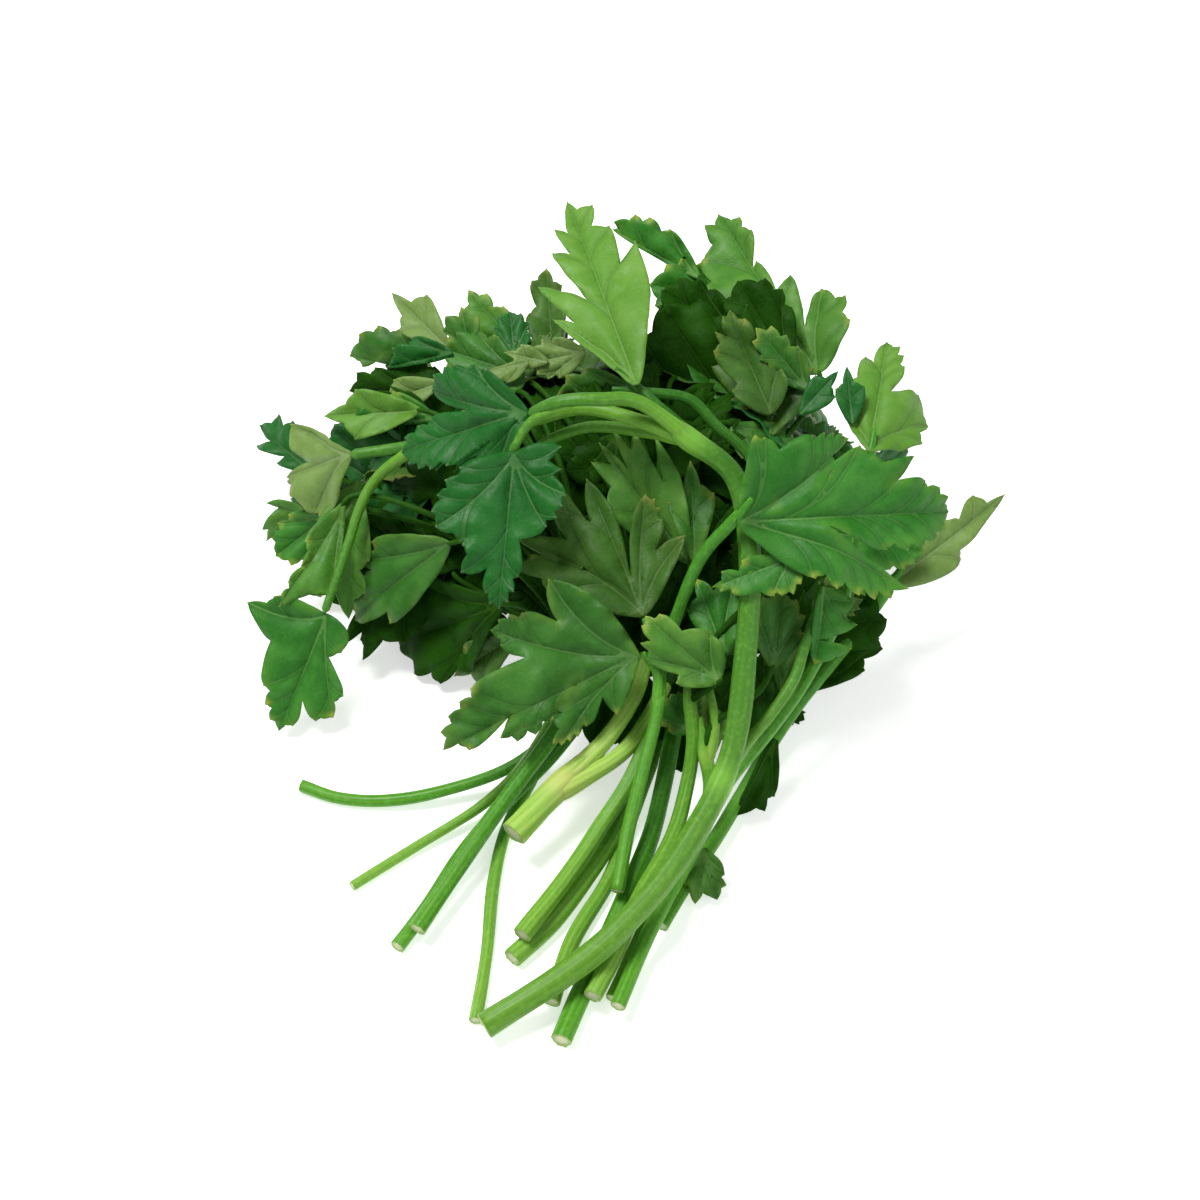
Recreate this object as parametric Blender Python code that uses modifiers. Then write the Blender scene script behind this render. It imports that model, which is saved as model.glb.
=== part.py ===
# A small bunch of flat-leaf parsley lying on a table: cut stalks at the front (-Y), leaves heaped at
# the back (+Y). Every stalk and every leaf is its own closed solid. Units in this file's tables are
# millimetres; Blender gets metres.
import math

import bmesh
import bpy
import numpy as np
from mathutils import Vector
from mathutils.geometry import delaunay_2d_cdt

collectionName = "parsley_bunch"
mm = 0.001

leafThickness = 0.5  # a solid leaf is thicker than the real blade, which is 0.3 mm
leafGrid = 8.0  # spacing of the points inside a blade
leafMargin = 1.8  # how far those points stay from the blade's edge
stubWidth = 1.2  # width of a blade where it meets its stalk
mostClosed = 0.35  # how far two lobes may swell towards each other, as a part of the space between
leastSwell = 0.5  # a side that swells less than this stays straight
tubeStep = 7.5  # length of one straight piece of a stalk
tubeSides = 1  # bevel resolution of a stalk

front = np.array((0.0, -0.643, 0.766))  # the way a leaf with no roll faces


# Leaf forms, on a blade 100 long from its stalk (0, 0) to its tip (0, 100). A form is a list of lobes, up
# the right-hand side and down the left. Each lobe has (across, along) of its tip, how far its right side
# and its left side swell in percent of their length, and the notch that ends it.
forms = {
    "big_right": [
        ((31, 76), 11, 2, (3, 38)),
        ((-2, 100), 24, 24, (-15, 67)),
        ((-26, 80), 4, 7, (-6, 17)),
        ((-34, 50), 5, 16, (-30, 18)),
        ((-36, 8), 8, 4),
    ],
    "top_pointed": [
        ((20, 63), 8, 4, (8, 46)),
        ((0, 101), 8, 4, (-3, 84)),
        ((-8, 87), 2, 4, (-7, 69)),
        ((-13, 76), 2, 4, (-6, 49)),
        ((-23, 62), 4, 4, (-15, 40)),
        ((-23, 47), 4, 3),
    ],
    "dark_upper": [
        ((27, 77), 27, 15, (8, 48)),
        ((-14, 108), 20, 25, (-16, 31)),
        ((-43, 63), -2, 12),
    ],
    "dark_lower": [
        ((46, 52), 20, 28, (14, 41)),
        ((28, 80), 6, 20, (12, 76)),
        ((3, 101), 20, 9, (-7, 57)),
        ((-33, 34), 4, 15, (-26, 14)),
        ((-31, 10), 4, 4, (-22, 5)),
        ((-30, -5), 4, 15),
    ],
    "pale_left": [
        ((45, 76), -2, 33, (3, 66)),
        ((-6, 99), 10, 6, (-30, 84)),
        ((-60, 51), 8, 3),
    ],
    "hanging_left": [
        ((60, 13), 6, 12, (34, 35)),
        ((6, 101), 13, 10, (-4, 72)),
        ((-30, 77), 25, 22, (-12, 33)),
        ((-20, 25), 4, 34),
    ],
    "left_folded": [
        ((24, 62), 5, 4, (18, 56)),
        ((38, 104), 5, 22),
    ],
    "left_far": [
        ((14, 117), 16, 5, (5, 80)),
        ((-8, 91), 5, 10, (-1, 46)),
        ((-13, 49), 5, 2),
    ],
    "left_pointed": [
        ((52, 41), 17, 2, (34, 32)),
        ((25, 76), 7, 2, (19, 70)),
        ((7, 86), 4, -6),
    ],
    "left_blue": [
        ((29, 61), 9, 5, (23, 63)),
        ((21, 79), 6, 4, (11, 74)),
        ((3, 92), 14, 3, (-3, 88)),
        ((-16, 109), 14, 12, (-22, 74)),
        ((-31, 76), 6, 8),
    ],
    "back_low": [
        ((18, 104), 32, 5, (12, 90)),
        ((6, 85), 4, -26),
    ],
    "back_curled": [
        ((5, 113), 10, 14, (-8, 97)),
        ((-16, 95), 3, 12),
    ],
    "back_upright": [
        ((2, 105), 9, 14, (-8, 92)),
        ((-14, 90), 4, 3, (-12, 64)),
        ((-20, 56), 4, 15),
    ],
    "plume": [
        ((22, 38), 26, 12, (6, 25)),
        ((13, 51), 6, 12, (4, 49)),
        ((4, 69), 8, 4, (1, 68)),
        ((8, 92), 10, 4, (4, 93)),
        ((1, 101), 4, 4, (-3, 97)),
        ((-7, 99), 6, 6, (-9, 88)),
        ((-17, 83), 4, 10),
    ],
    "ladder": [
        ((7, 100), 18, 4, (4, 95)),
        ((0, 98), 4, -3),
    ],
    "crest": [
        ((27, 64), 25, 10, (7, 52)),
        ((0, 98), 34, 15, (-6, 80)),
        ((-12, 82), 6, 11),
    ],
    "blade": [
        ((14, 50), 12, 4, (9, 53)),
        ((-2, 102), 6, 7),
    ],
    "folded_right": [
        ((13, 98), 7, 6, (-12, 90)),
        ((-29, 78), 6, 0, (9, 69)),
        ((-36, 49), 6, 0, (-19, 41)),
        ((-34, 21), 6, 6),
    ],
    "broad_front": [
        ((49, 22), 13, 14, (30, 27)),
        ((40, 56), 16, 6, (22, 48)),
        ((1, 100), 14, 5, (1, 66)),
        ((-6, 74), 4, 14, (2, 30)),
        ((-19, 54), 4, 24, (-10, 24)),
        ((-20, 22), 4, 3),
    ],
    "olive": [
        ((45, 40), 5, 18, (24, 38)),
        ((31, 75), 20, 5, (2, 28)),
        ((-1, 99), 4, 8, (-10, 66)),
        ((-20, 100), 4, 10, (-28, 66)),
        ((-58, 78), 8, 2, (-38, 54)),
        ((-67, 61), 16, 3),
    ],
    "comb": [
        ((34, 80), 10, 2, (19, 52)),
        ((25, 92), 3, 4, (14, 68)),
        ((14, 100), 5, 3, (6, 74)),
        ((2, 101), 4, 3, (-2, 76)),
        ((-10, 94), 4, 6),
    ],
    "crown": [
        ((35, 72), 12, 8, (12, 72)),
        ((-1, 92), 12, 11),
    ],
    "notched": [
        ((34, 38), 20, 4, (18, 62)),
        ((8, 100), 14, 14, (-9, 82)),
        ((-17, 88), 4, 9, (-20, 38)),
        ((-28, 34), 6, 12),
    ],
    "over_stem": [
        ((-2, 99), 2, 15, (-23, 50)),
        ((-34, 28), 6, 26),
    ],
    "maple": [
        ((42, 54), 16, 14, (14, 38)),
        ((0, 100), 30, 30, (-14, 38)),
        ((-42, 54), 14, 16),
    ],
    "twin": [
        ((14, 98), 18, 8, (4, 82)),
        ((-14, 92), 8, 18),
    ],
    "paddle": [((0, 100), 28, 28)],
    "tongue": [((0, 100), 12, 12)],
    "sickle": [((0, 100), 24, 4)],
}

# Stalks: each is one grown piece, a main run and the branches that leave it. A run has the radius at
# its start, the radius at its end and the points that its middle line passes through.
stalks = {
    "stem_main": [
        (2.6, 2.1, [
            (-28, -91, 4.2), (-13, -82, 8), (-2, -74, 12), (10, -60, 15.6), (20, -41, 22.4),
            (24, -23, 34), (25, -7, 46), (22, 7, 55), (12, 13, 61),
        ]),
        (1.7, 1.2, [(13, 13, 60), (3, 17, 67), (-6, 16, 69), (-14, 16, 68), (-19, 17, 64)]),
        (1.2, 0.9, [(-12, 16, 68), (-19, 15, 64), (-23, 11, 60)]),
        (1.6, 1.1, [
            (13, 13, 60), (4, 17, 61), (-8, 21, 61), (-18, 22, 57), (-30, 23, 51),
            (-41, 25, 47), (-48, 26, 44), (-57, 26, 42),
        ]),
        (1.3, 0.9, [(-46, 26, 45), (-52, 23, 39), (-56, 18, 35), (-59, 10, 30), (-63, -1, 24)]),
        (1.4, 1.0, [(12, 13, 60), (5, 18, 57), (-6, 22, 55), (-14, 22, 52), (-21, 20, 48)]),
        (1.3, 1.0, [
            (19, -44, 20), (24, -35, 20.5), (29, -29, 22.5), (34, -22, 26), (36, -17, 29),
            (39, -10, 34), (40, -7, 37),
        ]),
    ],
    "stem_blunt": [
        (2.9, 2.6, [(-23, -49, 9.5), (-15, -40, 11), (-8, -33, 12.5)]),
        (2.1, 1.6, [(-11, -36, 12), (-3, -28, 14.5), (3, -19, 18), (5, -13, 21)]),
        (1.9, 1.5, [(-11, -37, 12), (-4, -31, 13), (2, -22, 14.5), (6, -15, 16.5)]),
    ],
    "stem_far_left": [
        (1.2, 1.1, [
            (-68, -31, 1.3), (-60, -34, 1.2), (-50, -35, 1.6), (-39, -34, 3), (-26, -30, 5),
            (-17, -24, 8), (-11, -15, 13),
        ]),
    ],
    "stem_left_outer": [
        (1.1, 1.2, [
            (-56, -56, 1.1), (-43, -46, 1.5), (-30, -38, 4), (-22, -32, 8.5), (-16, -24, 14),
            (-13, -17, 19),
        ]),
    ],
    "stem_left_lower": [
        (1.4, 1.4, [
            (-46, -71, 1.4), (-40, -61, 2), (-33, -49, 3.4), (-24, -37, 5.2), (-16, -28, 7.5),
            (-9, -19, 10),
        ]),
    ],
    "stem_left_upper": [
        (1.4, 1.3, [(-42, -69, 5), (-32, -51, 6.8), (-23, -37, 9), (-15, -27, 14.5), (-11, -19, 19)]),
    ],
    "stem_front_thin": [
        (1.3, 1.3, [(-30, -88, 1.4), (-28, -71, 1.4), (-27, -55, 1.4), (-25, -42, 1.4), (-22, -27, 2)]),
    ],
    "stem_short_upper": [
        (1.4, 1.3, [(-21, -71, 6), (-14, -60, 6.2), (-6, -47, 8), (0, -38, 10.5), (4, -30, 14)]),
    ],
    "stem_short_lower": [
        (2.1, 1.6, [(-23, -74, 2.1), (-14, -64, 2.2), (-6, -51, 3), (-1, -41, 5.5), (3, -31, 8)]),
    ],
    "stem_middle_slim": [
        (1.7, 1.4, [(-15, -84, 1.7), (-11, -70, 1.7), (-4, -55, 1.7), (0, -42, 2), (5, -28, 3.6)]),
    ],
    "stem_middle_thick": [
        (2.2, 1.7, [
            (-13, -93, 2.2), (-9, -82, 2.2), (-4, -70, 2.2), (1, -56, 2.5), (5, -44, 3.4),
            (8, -32, 5.2), (10, -22, 8.5),
        ]),
    ],
    "stem_middle_pale": [
        (2.0, 1.3, [
            (-7, -85, 5.6), (-3, -76, 5.9), (3, -61, 5.4), (9, -48, 5.6), (12, -37, 8), (13.6, -29, 14),
            (13, -23, 20),
        ]),
    ],
    "stem_middle_jointed": [
        (1.5, 1.4, [
            (-3, -83, 1.5), (3, -68, 1.6), (8, -57, 2.4), (14, -45, 5), (17, -38, 9),
            (16, -31, 13.5),
        ]),
        (1.1, 0.8, [(16, -32, 13), (18, -27, 17), (17, -22, 22)]),
    ],
    "stem_right": [
        (1.6, 1.2, [
            (-2, -87, 5), (4, -71, 5.4), (13, -52, 7.5), (20, -39, 11.5), (27, -31, 15),
            (34, -23, 20), (39, -16, 25), (44, -7, 30), (47, 4, 36), (50, 17, 41), (51, 22, 44),
        ]),
    ],
    "stem_right_low": [
        (1.5, 1.5, [
            (7, -66, 1.5), (18, -45, 1.7), (28, -27, 3.5), (37, -13, 7), (47, -2, 13),
            (55, 7, 19),
        ]),
    ],
    "stem_long_thin": [
        (1.4, 1.2, [
            (-2, -61, 6.6), (0, -50, 10), (3, -39, 15), (6, -27, 20), (7, -18, 26),
            (10, -11, 32.5), (15, -6, 45), (21, -4, 54),
        ]),
        (1.1, 0.8, [(6, -23, 22), (6, -21, 26), (4, -19, 29.5)]),
        (1.1, 0.8, [(8, -16, 27), (6, -15, 30), (4, -13, 33)]),
    ],
    "stem_back_short": [
        (1.3, 1.0, [(23, 21, 40), (16, 21, 50), (7, 24, 58), (3, 26, 62)]),
    ],
    "stem_back_long": [
        (1.3, 1.1, [(31, 15, 40), (25, 21, 48), (19, 24, 53), (13, 28, 57), (5, 29, 60)]),
    ],
}

# Leaves: form, stalk end and tip, and mirrored or so many times as wide as the form, then in degrees
# the roll about the line from stalk to tip and the cupping of the two halves, and in mm the rise of the
# middle (bow). A leaf with no roll shows its upper face to the front.
leaves = {
    "leaf_big_right": dict(form="big_right", base=(22, -5, 55.5), tip=(67, 5, 46), bow=3),
    "leaf_top_pointed": dict(form="top_pointed", base=(2, 26, 63), tip=(-13, 82, 64), bow=3),
    "leaf_dark_upper": dict(form="dark_upper", base=(-20, 17, 64), tip=(-45, 23, 52), bow=2),
    "leaf_dark_lower": dict(form="dark_lower", base=(-23, 10, 60), tip=(-25, -15, 41), bow=2),
    "leaf_pale_left": dict(form="pale_left", base=(-58, 26, 42), tip=(-74, 32, 30)),
    "leaf_hanging_left": dict(form="hanging_left", base=(-63, -2, 23), tip=(-72, -18, 3)),
    "leaf_olive": dict(form="olive", base=(3.4, -12, 34), tip=(-8, 12, 50)),
    "leaf_broad_front": dict(form="broad_front", base=(2.6, -19, 30.6), tip=(-37, -36, 20)),
    "leaf_comb": dict(form="comb", base=(13, 0, 37), tip=(-6, 21, 50), cup=20),
    "leaf_notched": dict(form="notched", base=(19, -24, 28), tip=(3, -15, 35.5)),
    "leaf_crown": dict(form="crown", base=(20, -19, 30), tip=(14, -3, 38), cup=-20),
    "leaf_beside_stem": dict(form="paddle", base=(30, -19, 26), tip=(32, -6, 35), wide=0.8),
    "leaf_over_stem": dict(form="over_stem", base=(34, -9, 49), tip=(17, -13, 45), cup=-20),
    "leaf_plume": dict(form="plume", base=(42, 50, 42), tip=(21, 93, 48), cup=20),
    "leaf_ladder": dict(form="ladder", base=(17, 84, 38), tip=(-3, 94, 44)),
    "leaf_crest": dict(form="crest", base=(51, 23, 46), tip=(57, 56, 47), cup=-40),
    "leaf_blade": dict(form="blade", base=(56, 8, 20), tip=(82, 27, 27)),
    "leaf_folded_right": dict(form="folded_right", base=(40, -9.6, 41), tip=(41, -19, 26.4)),
    "leaf_back_right": dict(form="maple", base=(31, 33, 40), tip=(22, 62, 46)),
    "leaf_back_dark": dict(form="maple", base=(26, 45, 24), tip=(8, 74, 33), roll=10),
    "leaf_back_band": dict(form="paddle", base=(27, 80, 34), tip=(6, 84, 36), wide=0.7),
    "leaf_back_left": dict(form="tongue", base=(-39, 66, 33), tip=(-53, 82, 36)),
    "leaf_back_low": dict(form="back_low", base=(-43, 66, 26), tip=(-62, 72, 20)),
    "leaf_back_curled": dict(form="back_curled", base=(-23, 64, 35), tip=(-34, 75, 40)),
    "leaf_back_upright": dict(form="back_upright", base=(-16, 66, 30), tip=(-18, 86, 38)),
    "leaf_left_underside": dict(form="tongue", base=(-40, 47, 42), tip=(-55, 46, 36), wide=1.4),
    "leaf_left_edge": dict(form="tongue", base=(-44, 37, 44), tip=(-66, 42, 37), wide=0.35),
    "leaf_left_far": dict(form="left_far", base=(-70, 43, 19), tip=(-83, 57, 14)),
    "leaf_left_dark": dict(form="sickle", base=(-45, 34, 36), tip=(-67, 40, 26)),
    "leaf_left_folded": dict(form="left_folded", base=(-60, 20, 33), tip=(-65, -1, 22), cup=60),
    "leaf_left_small": dict(form="paddle", base=(-64, 24, 25), tip=(-76, 20, 16)),
    "leaf_left_pointed": dict(form="left_pointed", base=(-70, 31, 18), tip=(-80, 27, 10)),
    "leaf_left_blue": dict(form="left_blue", base=(-37, 8, 34), tip=(-59, 8, 16)),
    "leaf_left_inner": dict(form="paddle", base=(-26, -2, 26), tip=(-50, 6, 3), wide=0.8),
    "leaf_left_brown": dict(form="tongue", base=(-24, -6, 20), tip=(-37, -3, 3)),
    "leaf_low_crumpled": dict(form="twin", base=(15.5, -50, 6), tip=(16, -61, 3), wide=1.4),
    "leaf_low_curved": dict(form="sickle", base=(31, -26, 11), tip=(23, -40, 4), cup=-40, mirrored=True),
    "leaf_low_right": dict(form="paddle", base=(33, -12, 4), tip=(38, -14, 2), wide=2),
    "leaf_slope_left": dict(form="maple", base=(-20, 50, 30), tip=(-34, 86, 1), roll=-10),
    "leaf_slope_back": dict(form="maple", base=(16, 50, 19), tip=(22, 92, 0.6)),
    "leaf_slope_right": dict(form="maple", base=(42, 26, 28), tip=(66, 42, 4.8), roll=-30, wide=1.2),
    "leaf_slope_far_left": dict(form="maple", base=(-50, 36, 20), tip=(-76, 44, 1.6)),
}


def smoothRoute(points, step):
    # Even points along a smooth curve through the given ones.
    knots = np.array(points, float)
    ends = (2 * knots[0] - knots[1], 2 * knots[-1] - knots[-2])
    knots = np.vstack((ends[0], knots, ends[1]))
    share = np.linspace(0, 1, 12, endpoint=False)[:, None]
    fine = []
    for before, start, end, after in zip(knots[:-3], knots[1:-2], knots[2:-1], knots[3:]):
        linear = end - before
        square = 2 * before - 5 * start + 4 * end - after
        cube = 3 * (start - end) + after - before
        fine.append(start + 0.5 * share * (linear + share * (square + share * cube)))
    fine = np.vstack(fine + [knots[-2]])
    travel = np.concatenate(([0], np.cumsum(np.linalg.norm(np.diff(fine, axis=0), axis=1))))
    count = max(3, round(travel[-1] / step) + 1)
    stops = np.linspace(0, travel[-1], count)
    return np.column_stack([np.interp(stops, travel, fine[:, axis]) for axis in range(3)])


def material(name, colour, roughness):
    made = bpy.data.materials.new(name)
    made.use_nodes = True
    shader = made.node_tree.nodes["Principled BSDF"]
    shader.inputs["Base Color"].default_value = (*colour, 1)
    shader.inputs["Roughness"].default_value = roughness
    shader.inputs["Metallic"].default_value = 0
    return made


def place(name, mesh, finish, collection):
    piece = bpy.data.objects.new(name, mesh)
    mesh.materials.append(finish)
    collection.objects.link(piece)
    return piece


def tubeMesh(name, run):
    # A tapered tube with closed ends along one run of a stalk.
    startRadius, endRadius, points = run
    route = smoothRoute(points, tubeStep)
    curve = bpy.data.curves.new(name, "CURVE")
    curve.dimensions = "3D"
    curve.bevel_depth = startRadius * mm
    curve.bevel_resolution = tubeSides
    curve.use_fill_caps = True
    spline = curve.splines.new("POLY")
    spline.points.add(len(route) - 1)
    for index, point in enumerate(route):
        share = index / (len(route) - 1)
        spline.points[index].co = (*(point * mm), 1)
        spline.points[index].radius = 1 + (endRadius / startRadius - 1) * share
    guide = bpy.data.objects.new(name, curve)
    bpy.context.scene.collection.objects.link(guide)
    graph = bpy.context.evaluated_depsgraph_get()
    mesh = bpy.data.meshes.new_from_object(guide.evaluated_get(graph))
    bpy.data.objects.remove(guide)
    bpy.data.curves.remove(curve)
    solid = bmesh.new()
    solid.from_mesh(mesh)
    bmesh.ops.remove_doubles(solid, verts=solid.verts, dist=0.01 * mm)
    bmesh.ops.recalc_face_normals(solid, faces=solid.faces)
    solid.to_mesh(mesh)
    solid.free()
    return mesh


def makeStalk(name, runs, finish, collection, cutters):
    # The branches are joined to the main run, because a stalk grows as one piece.
    stalk = place(name, tubeMesh(name, runs[0]), finish, collection)
    for index, run in enumerate(runs[1:], 1):
        branchName = f"{name}_branch_{index}"
        branch = place(branchName, tubeMesh(branchName, run), finish, cutters)
        branch.hide_render = True
        branch.display_type = "WIRE"
        join = stalk.modifiers.new(f"join_{index}", "BOOLEAN")
        join.operation = "UNION"
        join.solver = "EXACT"
        join.object = branch
    stalk.data.shade_smooth()
    return stalk


def openSwells(lobes, tips, feet):
    # How far the two sides of each lobe swell, kept small enough that no notch closes.
    swells = [[lobe[1], lobe[2]] for lobe in lobes]
    for index, notch in enumerate(feet[1:-1]):
        left, right = tips[index] - notch, tips[index + 1] - notch
        space = abs(left[0] * right[1] - left[1] * right[0]) / max(np.hypot(*left), np.hypot(*right))
        bulge = (swells[index][1] * np.hypot(*left) + swells[index + 1][0] * np.hypot(*right)) / 100
        if bulge > mostClosed * space:
            share = mostClosed * space / bulge
            swells[index][1] *= share
            swells[index + 1][0] *= share
    return swells


def outlineOf(leaf):
    # The blade's flat outline in mm, counter-clockwise. It has no teeth: each lobe is its two ends and
    # the middles of its swollen sides.
    lobes = forms[leaf["form"]]
    length = math.dist(leaf["base"], leaf["tip"])
    scale = np.array((leaf.get("wide", 1.0), 1.0)) * length / 100
    tips = [np.array(lobe[0]) * scale for lobe in lobes]
    feet = [np.array(lobe[3]) * scale for lobe in lobes[:-1]]
    feet = [np.array((stubWidth / 2, 0.0))] + feet + [np.array((-stubWidth / 2, 0.0))]
    outline = [feet[0]]
    for tip, low, high, swells in zip(tips, feet, feet[1:], openSwells(lobes, tips, feet)):
        for start, end, swell in ((low, tip, swells[0]), (tip, high, swells[1])):
            run = end - start
            outward = np.array((run[1], -run[0])) * swell / 100
            if np.hypot(*outward) > leastSwell:
                outline.append((start + end) / 2 + outward)
            outline.append(end)
    if leaf.get("mirrored"):
        outline = [corner * (-1, 1) for corner in reversed(outline)]
    return np.array(outline), length


def insideOutline(points, outline):
    # True for the points that lie inside the outline and clear of its edge.
    inside = np.zeros(len(points), bool)
    nearest = np.full(len(points), np.inf)
    for start, end in zip(outline, np.roll(outline, -1, axis=0)):
        run = end - start
        crosses = (start[1] > points[:, 1]) != (end[1] > points[:, 1])
        rise = run[1] if run[1] else 1e-9
        inside ^= crosses & (points[:, 0] < start[0] + run[0] * (points[:, 1] - start[1]) / rise)
        share = np.clip((points - start) @ run / (run @ run), 0, 1)
        away = np.linalg.norm(points - start - share[:, None] * run, axis=1)
        nearest = np.minimum(nearest, away)
    return inside & (nearest > leafMargin)


def bendBlade(leaf, flat, length):
    # Flat blade points (across, along) in mm to places in the bunch.
    base = np.array(leaf["base"], float)
    axis = (np.array(leaf["tip"], float) - base) / length
    side = np.cross(axis, front)
    side /= np.linalg.norm(side)
    up = np.cross(side, axis)
    along = flat[:, 1:] / length
    across = flat[:, :1]
    roll = math.radians(leaf.get("roll", 0))
    rolledSide = math.cos(roll) * side + math.sin(roll) * up
    rolledUp = math.cos(roll) * up - math.sin(roll) * side
    turn = math.radians(leaf.get("cup", 6)) / (0.4 * length)
    reach = np.sin(turn * across) / turn
    lift = (1 - np.cos(turn * across)) / turn
    lift = lift + leaf.get("bow", 0) * 4 * along * (1 - along)
    return base + axis * length * along + rolledSide * reach + rolledUp * lift


def makeLeaf(name, leaf, finish, collection):
    outline, length = outlineOf(leaf)
    low = outline.min(axis=0)
    high = outline.max(axis=0)
    columns = np.arange(low[0], high[0], leafGrid)
    rows = np.arange(low[1], high[1], leafGrid)
    grid = np.array([(x, y) for y in rows for x in columns + 0.01])
    inner = grid[insideOutline(grid, outline)]
    flat = [Vector(point) for point in np.vstack((outline, inner))]
    edges = [(index, (index + 1) % len(outline)) for index in range(len(outline))]
    found = delaunay_2d_cdt(flat, edges, [], 1, 0.0001)
    points = bendBlade(leaf, np.array([tuple(point) for point in found[0]]), length)
    mesh = bpy.data.meshes.new(name)
    mesh.from_pydata((points * mm).tolist(), [], found[2])
    mesh.shade_smooth()
    blade = place(name, mesh, finish, collection)
    thicken = blade.modifiers.new("thickness", "SOLIDIFY")
    thicken.thickness = leafThickness * mm
    thicken.offset = 0
    return blade


def main():
    for old in list(bpy.data.objects):
        bpy.data.objects.remove(old)
    bunch = bpy.data.collections.new(collectionName)
    cutters = bpy.data.collections.new("joined_branches")
    for collection in (bunch, cutters):
        bpy.context.scene.collection.children.link(collection)
    stalkGreen = material("stalk_green", (0.16, 0.36, 0.06), 0.4)
    leafGreen = material("leaf_green", (0.05, 0.2, 0.03), 0.45)
    for name, runs in stalks.items():
        makeStalk(name, runs, stalkGreen, bunch, cutters)
    for name, leaf in leaves.items():
        makeLeaf(name, leaf, leafGreen, bunch)


main()
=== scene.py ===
import math
import random

import bpy
import numpy as np
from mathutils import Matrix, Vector
from mathutils.geometry import delaunay_2d_cdt


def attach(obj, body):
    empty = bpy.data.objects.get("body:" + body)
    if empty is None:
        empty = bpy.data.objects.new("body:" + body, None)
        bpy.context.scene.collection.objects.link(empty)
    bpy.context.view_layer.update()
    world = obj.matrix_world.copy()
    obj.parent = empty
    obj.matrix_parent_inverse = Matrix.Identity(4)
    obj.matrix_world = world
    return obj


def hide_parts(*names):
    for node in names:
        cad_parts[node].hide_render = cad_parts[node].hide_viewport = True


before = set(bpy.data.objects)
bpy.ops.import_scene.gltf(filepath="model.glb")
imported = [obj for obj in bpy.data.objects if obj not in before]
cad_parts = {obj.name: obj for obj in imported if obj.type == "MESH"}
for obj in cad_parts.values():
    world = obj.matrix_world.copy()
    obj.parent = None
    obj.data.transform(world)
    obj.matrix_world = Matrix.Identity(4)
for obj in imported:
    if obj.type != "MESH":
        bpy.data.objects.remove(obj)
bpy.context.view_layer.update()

mm = 0.001
front = np.array((0.0, -0.643, 0.766))  # the way a leaf with no roll faces


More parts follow.
